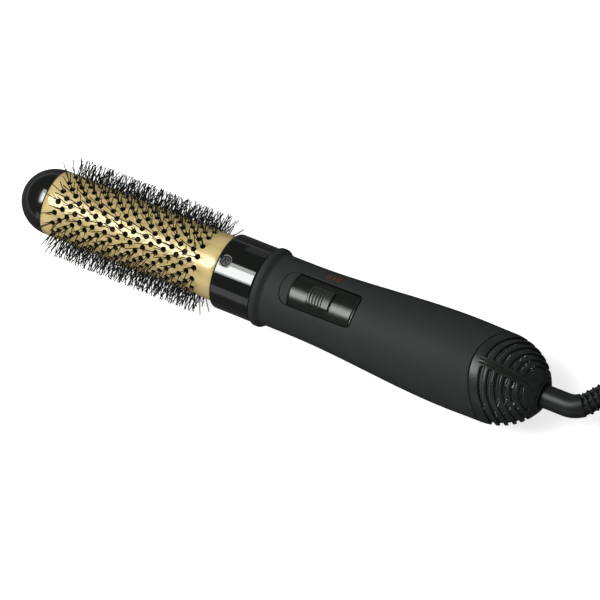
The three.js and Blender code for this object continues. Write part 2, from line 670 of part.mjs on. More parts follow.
// A slotted dome shell. Bands run round the dome, alternately solid and slotted; the top and
// bottom lines stay solid, and the last slots are short.
function inletCap() {
  const turns = capTurns();
  const edges = [0];
  for (let i = 0; i < SLOTS; i += 1) {
    const start = SLOT_START + i * SLOT_PITCH;
    edges.push(start / CAP_END_ANGLE, (start + SLOT_WIDTH) / CAP_END_ANGLE);
  }
  edges.push((edges[edges.length - 1] + 1) / 2, 1);
  const fromTop = (turn) => Math.acos(Math.abs(Math.cos(turn)));
  const first = THREE.MathUtils.degToRad(SLOT_BREAKS[1]);
  const shortEnd = THREE.MathUtils.degToRad(SHORT_SLOT_END);
  const open = (band, cell) => {
    if (band < 0 || band % 2 === 0 || band > 2 * SLOTS) return false;
    const middle = (turns[cell] + (turns[cell + 1] ?? 2 * Math.PI)) / 2;
    const away = fromTop(middle);
    return away > first && (band < 2 * SLOTS - 1 || away < shortEnd);
  };
  const triangles = [];
  const outer = edges.map((share) => turns.map((turn) => domePoint(share, turn, 0)));
  const inner = edges.map((share) => turns.map((turn) => domePoint(share, turn, CAP_WALL)));
  const count = turns.length;
  const last = edges.length - 2;
  for (let band = 0; band <= last; band += 1) {
    for (let cell = 0; cell < count; cell += 1) {
      if (open(band, cell)) continue;
      const next = (cell + 1) % count;
      const [a, b] = [outer[band], outer[band + 1]];
      const [c, d] = [inner[band], inner[band + 1]];
      triangles.push(...quad(a[cell], a[next], b[next], b[cell]));
      triangles.push(...quad(c[next], c[cell], d[cell], d[next]));
      if (band === 0) triangles.push(...quad(a[next], a[cell], c[cell], c[next]));
      if (band === last) triangles.push(...quad(b[cell], b[next], d[next], d[cell]));
      if (open(band - 1, cell)) triangles.push(...quad(a[next], a[cell], c[cell], c[next]));
      if (open(band + 1, cell)) triangles.push(...quad(b[cell], b[next], d[next], d[cell]));
      if (open(band, (cell + count - 1) % count)) {
        triangles.push(...quad(a[cell], b[cell], d[cell], c[cell]));
      }
      if (open(band, next)) triangles.push(...quad(b[next], a[next], c[next], d[next]));
    }
  }
  return fromTriangles(triangles);
}

// The screen lines the cap, from near the seam to the swivel.
function inletScreen() {
  const turns = capTurns();
  const outside = CAP_WALL + CLEARANCE;
  const inside = outside + SCREEN_WALL;
  const bands = 3;
  const rings = [];
  for (let i = 0; i <= bands; i += 1) {
    rings.push(turns.map((turn) => domePoint(i / bands, turn, outside)));
  }
  for (let i = bands; i >= 0; i -= 1) {
    rings.push(turns.map((turn) => domePoint(i / bands, turn, inside)));
  }
  const triangles = [];
  rings.forEach((ring, i) => {
    const next = rings[(i + 1) % rings.length];
    ring.forEach((_, j) => {
      const k = (j + 1) % ring.length;
      triangles.push(...quad(ring[j], ring[k], next[k], next[j]));
    });
  });
  return fromTriangles(triangles);
}

// ---- Works inside the handle ----

const MOTOR_END = MOTOR_START + MOTOR_LENGTH;
const WORKS_RADIUS = handleRadius(MOUNT_START) - HANDLE_WALL - CLEARANCE;

function motorCan() {
  const from = AT_FLANGE + MOTOR_START;
  const to = AT_FLANGE + MOTOR_END;
  const bore = SHAFT_RADIUS + CLEARANCE;
  const floor = to - SHAFT_DEPTH - CLEARANCE;
  const edge = MOTOR_RADIUS - SHAFT_RADIUS;
  const profile = [[from, 0], [from, edge], [from + SHAFT_RADIUS, MOTOR_RADIUS]];
  profile.push([to, MOTOR_RADIUS], [to, bore], [floor, bore], [floor, 0]);
  return turned(profile);
}

function motorMount() {
  const from = AT_FLANGE + MOUNT_START;
  const to = from + MOUNT_LENGTH;
  const bore = MOTOR_RADIUS + CLEARANCE;
  let body = solid(tube(from, to, WORKS_RADIUS, bore));
  const middle = (WORKS_RADIUS + bore) / 2;
  for (let i = 0; i < MOUNT_HOLES; i += 1) {
    const hole = rod(from - 1, to + 1, MOUNT_HOLE_RADIUS, SMALL_STEPS).translate(0, 0, middle);
    body = body.subtract(solid(hole.rotateX((2 * Math.PI * i) / MOUNT_HOLES)));
  }
  return geometryOf(body);
}

// The fan and its shaft turn together: pitched blades round a hub.
function fanRotor() {
  const from = AT_FLANGE + MOTOR_END + FAN_GAP;
  const to = from + FAN_LENGTH;
  const profile = [[from - FAN_GAP - SHAFT_DEPTH, 0], [from - FAN_GAP - SHAFT_DEPTH, SHAFT_RADIUS]];
  profile.push([from, SHAFT_RADIUS], [from, FAN_HUB_RADIUS], [to, FAN_HUB_RADIUS / 2], [to, 0]);
  let body = solid(turned(profile, BOOT_SIDES));
  const reach = WORKS_RADIUS - FAN_TIP_GAP;
  const root = FAN_HUB_RADIUS / 3;
  for (let i = 0; i < FAN_BLADES; i += 1) {
    const chord = FAN_LENGTH * 0.8;
    const blade = block(chord, BLADE_THICKNESS, reach - root, 0, 0, (reach + root) / 2);
    blade.rotateZ(BLADE_PITCH);
    blade.translate((from + to) / 2, 0, 0);
    body = body.add(solid(blade.rotateX((2 * Math.PI * i) / FAN_BLADES)));
  }
  return geometryOf(body);
}

const HEATER_RADIUS = SEAT_BORE - CLEARANCE;

function heaterTube() {
  const from = AT_COLLAR + HEATER_START;
  return tube(from, from + HEATER_LENGTH, HEATER_RADIUS, HEATER_RADIUS - HEATER_WALL);
}

// Two crossed plates carry the heating wire.
function heaterFrame() {
  const middle = AT_COLLAR + HEATER_START + HEATER_LENGTH / 2;
  const wide = 2 * (HEATER_RADIUS - HEATER_WALL - CLEARANCE) * Math.cos(Math.PI / ROUND_STEPS);
  const upright = solid(block(HEATER_LENGTH, HEATER_PLATE, wide - HEATER_PLATE, middle, 0, 0));
  const level = solid(block(HEATER_LENGTH, wide - HEATER_PLATE, HEATER_PLATE, middle, 0, 0));
  return geometryOf(upright.add(level));
}

// ---- Cord swivel ----

// The ring in the cap's rear hole. Its socket behind it traps the boot's flange.
function swivelRing() {
  const end = AT_REAR + DISK_PROUD;
  const inner = BOOT_RADIUS + CLEARANCE;
  const profile = [[end - SWIVEL_LENGTH, inner], [end - SWIVEL_LENGTH, DISK_RADIUS]];
  profile.push([end - DISK_PROUD, DISK_RADIUS], [end, DISK_RADIUS - DISK_PROUD], [end, inner]);
  return turned(profile);
}

const SOCKET_END = AT_REAR + DISK_PROUD - SWIVEL_LENGTH - CLEARANCE;

function swivelSocket() {
  const start = SOCKET_END - SOCKET_LENGTH;
  const chamber = BOOT_FLANGE_RADIUS + CLEARANCE;
  const deep = SOCKET_END - BOOT_FLANGE - CLEARANCE;
  const bore = CORD_RADIUS + CLEARANCE;
  const profile = [[start, bore], [start, DISK_RADIUS], [SOCKET_END, DISK_RADIUS]];
  profile.push([SOCKET_END, chamber], [deep, chamber], [deep, chamber - SOCKET_FLOOR]);
  profile.push([start + SOCKET_FLOOR, chamber - SOCKET_FLOOR], [start + SOCKET_FLOOR, bore]);
  return turned(profile);
}

// The boot's centre line: straight out, round the bend, then the ribbed end.
function bootPath() {
  const bendStart = AT_REAR + BOOT_STRAIGHT;
  const points = [];
  const radii = [];
  const put = (x, y, radius) => {
    points.push(new THREE.Vector3(x, y, 0));
    radii.push(radius);
  };
  const flangeTo = SOCKET_END;
  put(flangeTo - BOOT_FLANGE, 0, BOOT_FLANGE_RADIUS);
  put(flangeTo - CLEARANCE / 2, 0, BOOT_FLANGE_RADIUS);
  put(flangeTo, 0, BOOT_RADIUS);
  const bends = 5;
  for (let i = 0; i <= bends; i += 1) {
    const angle = (BOOT_BEND * i) / bends;
    const x = bendStart + BOOT_BEND_RADIUS * Math.sin(angle);
    put(x, BOOT_BEND_RADIUS * (1 - Math.cos(angle)), BOOT_RADIUS);
  }
  const [cos, sin] = [Math.cos(BOOT_BEND), Math.sin(BOOT_BEND)];
  const elbow = points[points.length - 1].clone();
  for (let i = 0; i < BOOT_RIBS; i += 1) {
    for (const [share, radius] of [[0.35, RIB_ROOT_RADIUS], [1, BOOT_RADIUS]]) {
      const along = (i + share) * RIB_PITCH;
      put(elbow.x + along * cos, elbow.y + along * sin, radius);
    }
  }
  return { points, radii };
}

const BOOT = bootPath();
const BOOT_END = BOOT.points[BOOT.points.length - 1];
const BOOT_HEADING = new THREE.Vector3(Math.cos(BOOT_BEND), Math.sin(BOOT_BEND), 0);

function swivelBoot() {
  return lofted(ringsAlong(BOOT.points, BOOT.radii, BOOT_SIDES));
}

// ---- Cord ----

const COIL_CENTRE = new THREE.Vector3(AT_REAR + COIL_AHEAD, COIL_ASIDE, 0);
const HALF_TURN = TURN_STEPS / 2;
const FLOOR_LAYER = TABLE + CORD_RADIUS;

// A point on the coil: step 0 joins the top layer, and the turns run clockwise seen from
// above. Each layer spirals in or out, and each change of layer takes half a turn.
function coilPoint(step) {
  const layerRun = LAYER_STEPS + HALF_TURN;
  const layer = Math.min(Math.floor(step / layerRun), COIL_LAYERS - 1);
  const within = step - layer * layerRun;
  const share = Math.min(within / LAYER_STEPS, 1);
  const dropped = Math.max(within - LAYER_STEPS, 0) / HALF_TURN;
  const depth = (COIL_TURN_PITCH * LAYER_STEPS) / TURN_STEPS;
  const inward = layer % 2 ? 1 - share : share;
  const last = layer === COIL_LAYERS - 1;
  const radius = COIL_OUTER - depth * inward;
  const angle = THREE.MathUtils.degToRad(COIL_ENTRY) - (2 * Math.PI * step) / TURN_STEPS;
  const level = COIL_LAYERS - 1 - layer - (last ? 0 : dropped);
  const point = new THREE.Vector3(radius * Math.cos(angle), radius * Math.sin(angle), 0);
  return point.add(COIL_CENTRE).setZ(FLOOR_LAYER + level * COIL_LAYER_PITCH);
}

const COIL_STEPS = COIL_LAYERS * LAYER_STEPS + (COIL_LAYERS - 1) * HALF_TURN + TAIL_ARC_STEPS;

function circleHeading(step) {
  const angle = THREE.MathUtils.degToRad(COIL_ENTRY) - (2 * Math.PI * step) / TURN_STEPS;
  return new THREE.Vector3(Math.sin(angle), -Math.cos(angle), 0);
}

// The coil's centre line, with a straight end of one diameter before and after the turns.
function coilPath() {
  const points = [];
  for (let step = 0; step <= COIL_STEPS; step += 1) points.push(coilPoint(step));
  const first = points[0].clone().addScaledVector(circleHeading(0), -2 * CORD_RADIUS);
  const last = points[points.length - 1].clone();
  last.addScaledVector(circleHeading(COIL_STEPS), 2 * CORD_RADIUS);
  return [first, ...points, last];
}

const COIL = coilPath();

// The least gap between two stretches of the coil that are a quarter turn or more apart.
function leastGap(path) {
  let least = Infinity;
  for (let i = 0; i < path.length; i += 1) {
    for (let j = i + TURN_STEPS / 4; j < path.length; j += 1) {
      least = Math.min(least, path[i].distanceTo(path[j]));
    }
  }
  return least - 2 * CORD_RADIUS;
}

console.log(`coil: least gap to itself ${leastGap(COIL).toFixed(2)} mm`);

function cordCoil() {
  return lofted(ringsAlong(COIL, COIL.map(() => CORD_RADIUS), COIL_SIDES));
}

// A stretch of free cord along hand-placed points.
function cordAlong(points, steps) {
  const circle = new THREE.Shape();
  for (let i = 0; i < CORD_SIDES; i += 1) {
    const angle = (2 * Math.PI * (i + 0.5)) / CORD_SIDES;
    const [x, y] = [CORD_RADIUS * Math.cos(angle), CORD_RADIUS * Math.sin(angle)];
    if (i === 0) circle.moveTo(x, y);
    else circle.lineTo(x, y);
  }
  const extrudePath = new THREE.CatmullRomCurve3(points, false, "centripetal");
  return new THREE.ExtrudeGeometry(circle, { steps, extrudePath, bevelEnabled: false });
}

// The cord from the boot to the coil's top layer.
function cordLead() {
  const start = BOOT_END.clone().addScaledVector(BOOT_HEADING, CLEARANCE);
  const end = COIL[0].clone().addScaledVector(circleHeading(0), -CLEARANCE);
  const points = [start, start.clone().addScaledVector(BOOT_HEADING, 2 * CORD_RADIUS)];
  points.push(end.clone().addScaledVector(circleHeading(0), -2 * CORD_RADIUS), end);
  return cordAlong(points, LEAD_STEPS);
}

// ---- Plug ----

const PLUG_X = COIL_CENTRE.x + COIL_OUTER + CORD_RADIUS + PLUG_GAP + PLUG_WIDTH / 2;
const TAIL_START = COIL[COIL.length - 1].clone().addScaledVector(circleHeading(COIL_STEPS), CLEARANCE);
const PLUG_HEIGHT = TABLE + PLUG_THICKNESS / 2;
const PLUG_NECK = new THREE.Vector3(PLUG_X, TAIL_START.y - TAIL_BEND, PLUG_HEIGHT);

// The cord from the coil's lowest layer round to the plug, which points to -Y.
function cordTail() {
  const down = new THREE.Vector3(0, -1, 0);
  const end = PLUG_NECK.clone().addScaledVector(down, -CLEARANCE);
  const points = [TAIL_START.clone(), TAIL_START.clone().setX(TAIL_START.x + 2 * CORD_RADIUS)];
  const turnStart = PLUG_X - TAIL_BEND;
  const bends = 4;
  for (let i = 0; i < bends; i += 1) {
    const angle = (i * Math.PI) / 2 / bends;
    const x = turnStart + TAIL_BEND * Math.sin(angle);
    const y = TAIL_START.y - TAIL_BEND * (1 - Math.cos(angle));
    const z = THREE.MathUtils.lerp(TAIL_START.z, PLUG_HEIGHT, (i + 1) / (bends + 1));
    points.push(new THREE.Vector3(x, y + 2 * CORD_RADIUS * (i / bends), z));
  }
  points.push(end.clone().addScaledVector(down, -2 * CORD_RADIUS), end);
  return cordAlong(points, TAIL_STEPS);
}

// A block with rounded corners seen along its length, which runs to -Y from its rear face.
function roundedBlock(width, thickness, length, rounding) {
  const [w, t, r] = [width / 2, thickness / 2, rounding];
  const shape = new THREE.Shape();
  shape.moveTo(-w + r, -t);
  shape.lineTo(w - r, -t);
  shape.quadraticCurveTo(w, -t, w, -t + r);
  shape.lineTo(w, t - r);
  shape.quadraticCurveTo(w, t, w - r, t);
  shape.lineTo(-w + r, t);
  shape.quadraticCurveTo(-w, t, -w, t - r);
  shape.lineTo(-w, -t + r);
  shape.quadraticCurveTo(-w, -t, -w + r, -t);
  const geometry = new THREE.ExtrudeGeometry(shape, { depth: length, bevelEnabled: false, curveSegments: 3 });
  return geometry.rotateX(Math.PI / 2);
}

function bladeX(number) {
  return PLUG_X + (number - 0.5) * BLADE_SPACING;
}

const PLUG_REAR = PLUG_NECK.y - PLUG_NECK_LENGTH;
const PLUG_FACE = PLUG_REAR - PLUG_LENGTH;

function plugBody() {
  const body = roundedBlock(PLUG_WIDTH, PLUG_THICKNESS, PLUG_LENGTH, PLUG_ROUNDING);
  body.translate(PLUG_X, PLUG_REAR, PLUG_HEIGHT);
  const half = PLUG_NECK_LENGTH + 1;
  const neck = turned([[0, 0], [0, CORD_RADIUS + 1], [half, PLUG_NECK_RADIUS], [half, 0]], SMALL_STEPS);
  neck.rotateZ(-Math.PI / 2);
  neck.translate(PLUG_X, PLUG_NECK.y, PLUG_HEIGHT);
  let plug = solid(body).add(solid(neck));
  for (let i = 0; i < 2; i += 1) {
    const width = BLADE_WIDTH + 2 * CLEARANCE;
    const depth = BLADE_DEPTH + 2 * CLEARANCE;
    const long = 2 * (BLADE_ROOT + CLEARANCE);
    plug = plug.subtract(solid(block(depth, long, width, bladeX(i), PLUG_FACE, PLUG_HEIGHT)));
  }
  return geometryOf(plug);
}

function plugBlade(number) {
  const long = BLADE_LENGTH + BLADE_ROOT;
  const y = PLUG_FACE + BLADE_ROOT - long / 2;
  return block(BLADE_DEPTH, long, BLADE_WIDTH, bladeX(number), y, PLUG_HEIGHT);
}

// ---- Assembly ----

function piece(name, geometry, look) {
  const mesh = new THREE.Mesh(welded(geometry), new THREE.MeshStandardMaterial(look));
  mesh.name = name;
  return mesh;
}

function brushPieces() {
  const group = new THREE.Group();
  group.add(piece("tip_cap", tipCap(), GLOSS_BLACK));
  group.add(piece("barrel_tube", barrelTube(), GOLD));
  for (let i = 0; i < SLEEVES; i += 1) {
    group.add(piece(`bristle_sleeve_${i + 1}`, bristleSleeve(i), BRISTLE_BLACK));
  }
  group.add(piece("collar", collar(), GLOSS_BLACK));
  for (let i = 0; i < SCREWS; i += 1) {
    group.add(piece(`collar_screw_${i + 1}`, collarScrew(i), STEEL));
  }
  group.add(piece("barrel_seat", barrelSeat(), SATIN_BLACK));
  group.add(piece("heater_tube", heaterTube(), MICA));
  group.add(piece("heater_frame", heaterFrame(), MICA));
  group.add(piece("handle_shell", handleShell(), SOFT_GREY));
  group.add(piece("switch_panel", switchPanel(), SATIN_BLACK));
  group.add(piece("switch_slider", switchSlider(), SATIN_BLACK));
  group.add(piece("switch_module", switchModule(), FAN_WHITE));
  group.add(piece("motor_can", motorCan(), STEEL));
  group.add(piece("motor_mount", motorMount(), SATIN_BLACK));
  group.add(piece("fan_rotor", fanRotor(), FAN_WHITE));
  group.add(piece("inlet_cap", inletCap(), SATIN_BLACK));
  group.add(piece("inlet_screen", inletScreen(), SATIN_BLACK));
  group.add(piece("swivel_ring", swivelRing(), SATIN_BLACK));
  group.add(piece("swivel_socket", swivelSocket(), SATIN_BLACK));
  group.add(piece("swivel_boot", swivelBoot(), CORD_BLACK));
  return group;
}

function cordPieces() {
  const group = new THREE.Group();
  group.add(piece("cord_lead", cordLead(), CORD_BLACK));
  group.add(piece("cord_coil", cordCoil(), CORD_BLACK));
  group.add(piece("cord_tail", cordTail(), CORD_BLACK));
  group.add(piece("plug_body", plugBody(), CORD_BLACK));
  group.add(piece("plug_blade_1", plugBlade(0), BRASS));
  group.add(piece("plug_blade_2", plugBlade(1), BRASS));
  return group;
}

// The origin lies on the table, under the middle of the brush.
const brush = brushPieces();
const middle = new THREE.Box3().setFromObject(brush).getCenter(new THREE.Vector3());
const model = new THREE.Group();
model.add(brush, cordPieces());
model.position.set(-middle.x, 0, -TABLE);

export default model;
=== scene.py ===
# %% [markdown]
# # A hot air brush, dressed for its picture
#
# The brush's solids come in as a fixed frame, in metres, with the handle's axis along X, the
# tip at -X and the switch on top. Each lesson cell below makes one piece or one finish of the
# real product. A piece is a surface worked out as whole arrays, so that its shape can be read
# from one formula.

import math

import bmesh
import bpy
import numpy as np
from mathutils import Matrix, Vector


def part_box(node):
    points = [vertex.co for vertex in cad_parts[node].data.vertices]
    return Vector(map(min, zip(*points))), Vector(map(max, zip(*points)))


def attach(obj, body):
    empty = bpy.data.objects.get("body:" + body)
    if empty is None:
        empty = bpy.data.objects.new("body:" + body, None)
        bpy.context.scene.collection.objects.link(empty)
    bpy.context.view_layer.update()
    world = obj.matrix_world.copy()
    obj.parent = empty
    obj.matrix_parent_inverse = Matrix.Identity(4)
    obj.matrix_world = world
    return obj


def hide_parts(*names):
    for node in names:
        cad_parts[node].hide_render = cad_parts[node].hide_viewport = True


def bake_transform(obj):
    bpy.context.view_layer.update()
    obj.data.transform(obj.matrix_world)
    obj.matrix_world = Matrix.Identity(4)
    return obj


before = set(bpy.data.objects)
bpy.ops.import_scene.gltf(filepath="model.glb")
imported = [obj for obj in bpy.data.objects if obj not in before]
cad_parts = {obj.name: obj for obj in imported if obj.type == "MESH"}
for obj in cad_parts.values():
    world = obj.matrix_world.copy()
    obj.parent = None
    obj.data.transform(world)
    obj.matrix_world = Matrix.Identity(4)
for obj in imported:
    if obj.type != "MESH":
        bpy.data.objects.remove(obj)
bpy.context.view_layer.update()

# %% [markdown]
# ## The product's own sizes
#
# Every piece is placed from a few stations along the axis: the tip, the front ends of the
# barrel, the collar and the handle, the seam with the rear cap, and the rear. Each station is
# the one before it plus a length, so a length that changes moves all that lies behind it.

# %% Stations and sizes
MM = 0.001
CLEARANCE = 0.3 * MM
TIP_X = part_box("tip_cap")[0][0]
AXIS_Z = 25.8 * MM
TIP_LENGTH = 21.6 * MM
BARREL_RADIUS = 19.0 * MM
BARREL_LENGTH = 111.1 * MM
COLLAR_LENGTH = 25.8 * MM
HANDLE_LENGTH = 142 * MM
BARREL_START = TIP_X + TIP_LENGTH
COLLAR_START = BARREL_START + BARREL_LENGTH
FLANGE_START = COLLAR_START + COLLAR_LENGTH
SEAM_X = FLANGE_START + HANDLE_LENGTH
CAP_RADIUS = 25.5 * MM
CAP_DOME = 30 * MM
DISK_RADIUS = 9.8 * MM
HOLE_END = 10.1 * MM
CAP_END_ANGLE = math.acos(HOLE_END / CAP_RADIUS)
REAR_X = SEAM_X + CAP_DOME * math.sin(CAP_END_ANGLE)
SEAM_SWEEP = 6.8 * MM
SEAM_REACH = 2.0 * MM
TURN = 2 * np.pi
rng = np.random.default_rng(7)
print("tip at", round(TIP_X, 4), "rear at", round(REAR_X, 4))

# %% [markdown]
# ## The camera
#
# The round edges of the collar and the flange show how far the brush is turned away from the
# picture, and the axis's two ends show the scale. A long lens far away gives the flat look of
# a catalogue picture. The camera is placed so that the rear disk's centre falls on its pixel.

# %% Camera
FOCAL_PX = 3500.0
PICTURE_PX = 600.0
SENSOR_WIDTH = 36.0
DISK_PIXEL = (543.3, 395.5)
DISK_DEPTH = 1.8645
toward_camera = np.array([0.36, -0.194, 0.913])
toward_camera /= np.linalg.norm(toward_camera)
picture_right = np.array([0.867, 0.430, -0.250])
picture_right -= toward_camera * picture_right.dot(toward_camera)
picture_right /= np.linalg.norm(picture_right)
picture_up = np.cross(toward_camera, picture_right)


def camera_at(pixel, point, depth):
    """Camera place = point - right * (u / f * depth) + up * (v / f * depth) + back * depth,
    where u and v are the pixel's distance right of and below the picture's middle."""
    right = (pixel[0] - PICTURE_PX / 2) / FOCAL_PX * depth
    down = (pixel[1] - PICTURE_PX / 2) / FOCAL_PX * depth
    return point - picture_right * right + picture_up * down + toward_camera * depth


camera_data = bpy.data.cameras.new("picture_camera")
camera_data.sensor_width = SENSOR_WIDTH
camera_data.lens = SENSOR_WIDTH * FOCAL_PX / PICTURE_PX
camera_data.clip_start = 0.05
camera_data.clip_end = 20.0
camera = bpy.data.objects.new("picture_camera", camera_data)
bpy.context.scene.collection.objects.link(camera)
camera_place = camera_at(DISK_PIXEL, np.array([REAR_X, 0.0, AXIS_Z]), DISK_DEPTH)
turn = Matrix([picture_right, picture_up, toward_camera]).transposed().to_4x4()
camera.matrix_world = Matrix.Translation(Vector(camera_place)) @ turn
bpy.context.scene.camera = camera
print("camera at", np.round(camera_place, 3))

# %% [markdown]
# ## Helpers for surfaces
#
# A grid of points becomes quads between neighbours, and `grid_faces` says which directions
# close on themselves. `turned` makes a grid by turning a profile about the axis. `add_piece`
# gives each piece the finish it is handed.

# %% Surface helpers


def add_piece(name, points, faces, material, body="handle", smooth=True):
    """Makes one mesh object from an array of points and an array of faces."""
    mesh = bpy.data.meshes.new(name)
    mesh.from_pydata([], [], [])
    mesh.vertices.add(len(points))
    mesh.vertices.foreach_set("co", np.asarray(points, float).ravel())
    faces = [np.asarray(f) for f in (faces if isinstance(faces, list) else [faces])]
    counts = np.concatenate([np.full(len(f), f.shape[1]) for f in faces])
    mesh.loops.add(int(counts.sum()))
    mesh.loops.foreach_set("vertex_index", np.concatenate([f.ravel() for f in faces]))
    mesh.polygons.add(len(counts))
    starts = np.concatenate([[0], np.cumsum(counts)[:-1]])
    mesh.polygons.foreach_set("loop_start", starts)
    mesh.polygons.foreach_set("use_smooth", np.full(len(counts), smooth))
    mesh.update(calc_edges=True)
    mesh.validate()
    piece = bpy.data.objects.new(name, mesh)
    bpy.context.scene.collection.objects.link(piece)
    mesh.materials.append(material)
    if body:
        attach(piece, body)
    return piece


def grid_faces(rows, columns, close_rows=False, close_columns=False):
    """Quads of a grid: corner (i, j) joins (i+1, j), (i+1, j+1) and (i, j+1), with the last
    row or column joined to the first where it closes."""
    i = np.arange(rows if close_rows else rows - 1)[:, None]
    j = np.arange(columns if close_columns else columns - 1)[None, :]
    i, j = np.broadcast_arrays(i, j)
    k, m = (i + 1) % rows, (j + 1) % columns
    quads = np.stack([i * columns + j, k * columns + j, k * columns + m, i * columns + m], -1)
    return quads.reshape(-1, 4)


def merge_and_face_out(piece, distance=1e-6):
    """Merges doubles and turns the faces outward."""
    work = bmesh.new()
    work.from_mesh(piece.data)
    bmesh.ops.remove_doubles(work, verts=work.verts, dist=distance)
    bmesh.ops.dissolve_degenerate(work, edges=work.edges, dist=distance)
    bmesh.ops.recalc_face_normals(work, faces=work.faces)
    work.to_mesh(piece.data)
    work.free()
    piece.data.update()
    return piece


def full_circle(steps):
    """Even turns once round: i * full turn / steps."""
    return np.linspace(0, TURN, steps, endpoint=False)


def ring_points(x, radius, theta):
    """A point at station x: y = radius * sin(theta), z = axis + radius * cos(theta)."""
    x, radius, theta = np.broadcast_arrays(x, radius, theta)
    return np.stack([x, radius * np.sin(theta), AXIS_Z + radius * np.cos(theta)], -1)


def turned(name, profile, material, body="handle", steps=128, closed=True):
    """A profile of (x, radius) turned about the axis."""
    profile = np.asarray(profile, float)
    points = ring_points(profile[:, :1], profile[:, 1:], full_circle(steps)[None, :])
    faces = grid_faces(len(profile), steps, close_rows=closed, close_columns=True)
    piece = add_piece(name, points.reshape(-1, 3), faces, material, body)
    return merge_and_face_out(piece)


def rounded_corners(profile, radius, steps=4, most=0.45):
    """Replaces each corner of a profile by points on a curve that leaves and meets its two
    sides at the given distance, or at most that share of a side: point = (1-t)^2 a +
    2t(1-t) corner + t^2 b."""
    profile = np.asarray(profile, float)
    radius = np.broadcast_to(radius, len(profile))
    before, after = np.roll(profile, 1, 0), np.roll(profile, -1, 0)
    t = np.linspace(0, 1, steps + 1)[None, :, None]

    def toward(other):
        """Each corner, moved along its side to a neighbour."""
        reach = other - profile
        long = np.linalg.norm(reach, axis=1, keepdims=True)
        return profile + reach * np.minimum(radius[:, None] / long, most)

    a, b = toward(before)[:, None], toward(after)[:, None]
    return ((1 - t) ** 2 * a + 2 * t * (1 - t) * profile[:, None] + t**2 * b).reshape(-1, 2)


# %% [markdown]
# ## Finishes
#
# Each finish is a node material that reads Object coordinates, so it stays with its piece.
# Constants sit on the shader's own sockets. Moulded plastic gets a fine grain in its bump and
# a slight change of roughness, as a mould leaves it. An index of refraction above or below
# the usual 1.5 sets how much of the room a black piece mirrors.

# %% Material helpers


def new_material(name, color, roughness, metallic=0.0, coat=0.0, coat_roughness=0.1, index=1.5):
    """A Principled material with its constants set on the shader itself."""
    material = bpy.data.materials.new(name)
    material.use_nodes = True
    shader = material.node_tree.nodes["Principled BSDF"]
    shader.inputs["Base Color"].default_value = (*color, 1)
    shader.inputs["Roughness"].default_value = roughness
    shader.inputs["Metallic"].default_value = metallic
    shader.inputs["Coat Weight"].default_value = coat
    shader.inputs["Coat Roughness"].default_value = coat_roughness
    shader.inputs["IOR"].default_value = index
    shader.inputs["Coat IOR"].default_value = max(index, 1.5)
    material.diffuse_color = (*color, 1)
    return material, material.node_tree, shader


def add_node(tree, kind, **settings):
    """A new node with its settings."""
    node = tree.nodes.new(kind)
    for key, value in settings.items():
        setattr(node, key, value)
    return node


def object_noise(tree, scale, detail=3.0, roughness=0.5, stretch=(1, 1, 1)):
    """Noise on Object coordinates, with a Mapping node for its stretch."""
    place = add_node(tree, "ShaderNodeTexCoord")
    mapping = add_node(tree, "ShaderNodeMapping")
    mapping.inputs["Scale"].default_value = stretch
    noise = add_node(tree, "ShaderNodeTexNoise")
    noise.inputs["Scale"].default_value = scale
    noise.inputs["Detail"].default_value = detail
    noise.inputs["Roughness"].default_value = roughness
    tree.links.new(place.outputs["Object"], mapping.inputs["Vector"])
    tree.links.new(mapping.outputs["Vector"], noise.inputs["Vector"])
    return noise.outputs["Fac"]


def map_range(tree, value, low, high, from_low=0.3, from_high=0.7):
    """low + (high - low) * share, with share the value's way from from_low to from_high."""
    node = add_node(tree, "ShaderNodeMapRange")
    node.inputs["From Min"].default_value = from_low
    node.inputs["From Max"].default_value = from_high
    node.inputs["To Min"].default_value = low
    node.inputs["To Max"].default_value = high
    tree.links.new(value, node.inputs["Value"])
    return node.outputs["Result"]


def mix_colors(tree, value, first, second):
    """first * (1 - value) + second * value."""
    node = add_node(tree, "ShaderNodeMix", data_type="RGBA")
    node.inputs["A"].default_value = (*first, 1)
    node.inputs["B"].default_value = (*second, 1)
    tree.links.new(value, node.inputs["Factor"])
    return node.outputs["Result"]


def add_bump(tree, shader, height, strength, distance):
    """Tilts a shader's normal by the slope of a height."""
    bump = add_node(tree, "ShaderNodeBump")
    bump.inputs["Strength"].default_value = strength
    bump.inputs["Distance"].default_value = distance
    tree.links.new(height, bump.inputs["Height"])
    tree.links.new(bump.outputs["Normal"], shader.inputs["Normal"])


def moulded(name, color, roughness, grain=0.25, coat=0.0, vary=0.05, coat_roughness=0.1, index=1.5):
    """Moulded plastic: cloudy roughness and colour at centimetre size, grain at tenths of a
    millimetre."""
    material, tree, shader = new_material(name, color, roughness, 0.0, coat, coat_roughness, index)
    cloud = object_noise(tree, 90, 4)
    rough = map_range(tree, cloud, roughness - vary, roughness + vary)
    tree.links.new(rough, shader.inputs["Roughness"])
    lighter = tuple(min(c * 1.18 + 0.001, 1) for c in color)
    tree.links.new(mix_colors(tree, cloud, color, lighter), shader.inputs["Base Color"])
    add_bump(tree, shader, object_noise(tree, 4200, 2), grain, 0.00006)
    return material


def metal(name, color, roughness, stretch=(1, 1, 1), vary=0.06, scale=600, grain=0.1):
    """Metal with a fine drawn grain: noise stretched along the working direction."""
    material, tree, shader = new_material(name, color, roughness, 1.0)
    streaks = object_noise(tree, scale, 3, 0.6, stretch)
    rough = map_range(tree, streaks, roughness - vary, roughness + vary)
    tree.links.new(rough, shader.inputs["Roughness"])
    darker = tuple(c * 0.86 for c in color)
    tree.links.new(mix_colors(tree, streaks, darker, color), shader.inputs["Base Color"])
    add_bump(tree, shader, streaks, grain, 0.00004)
    return material


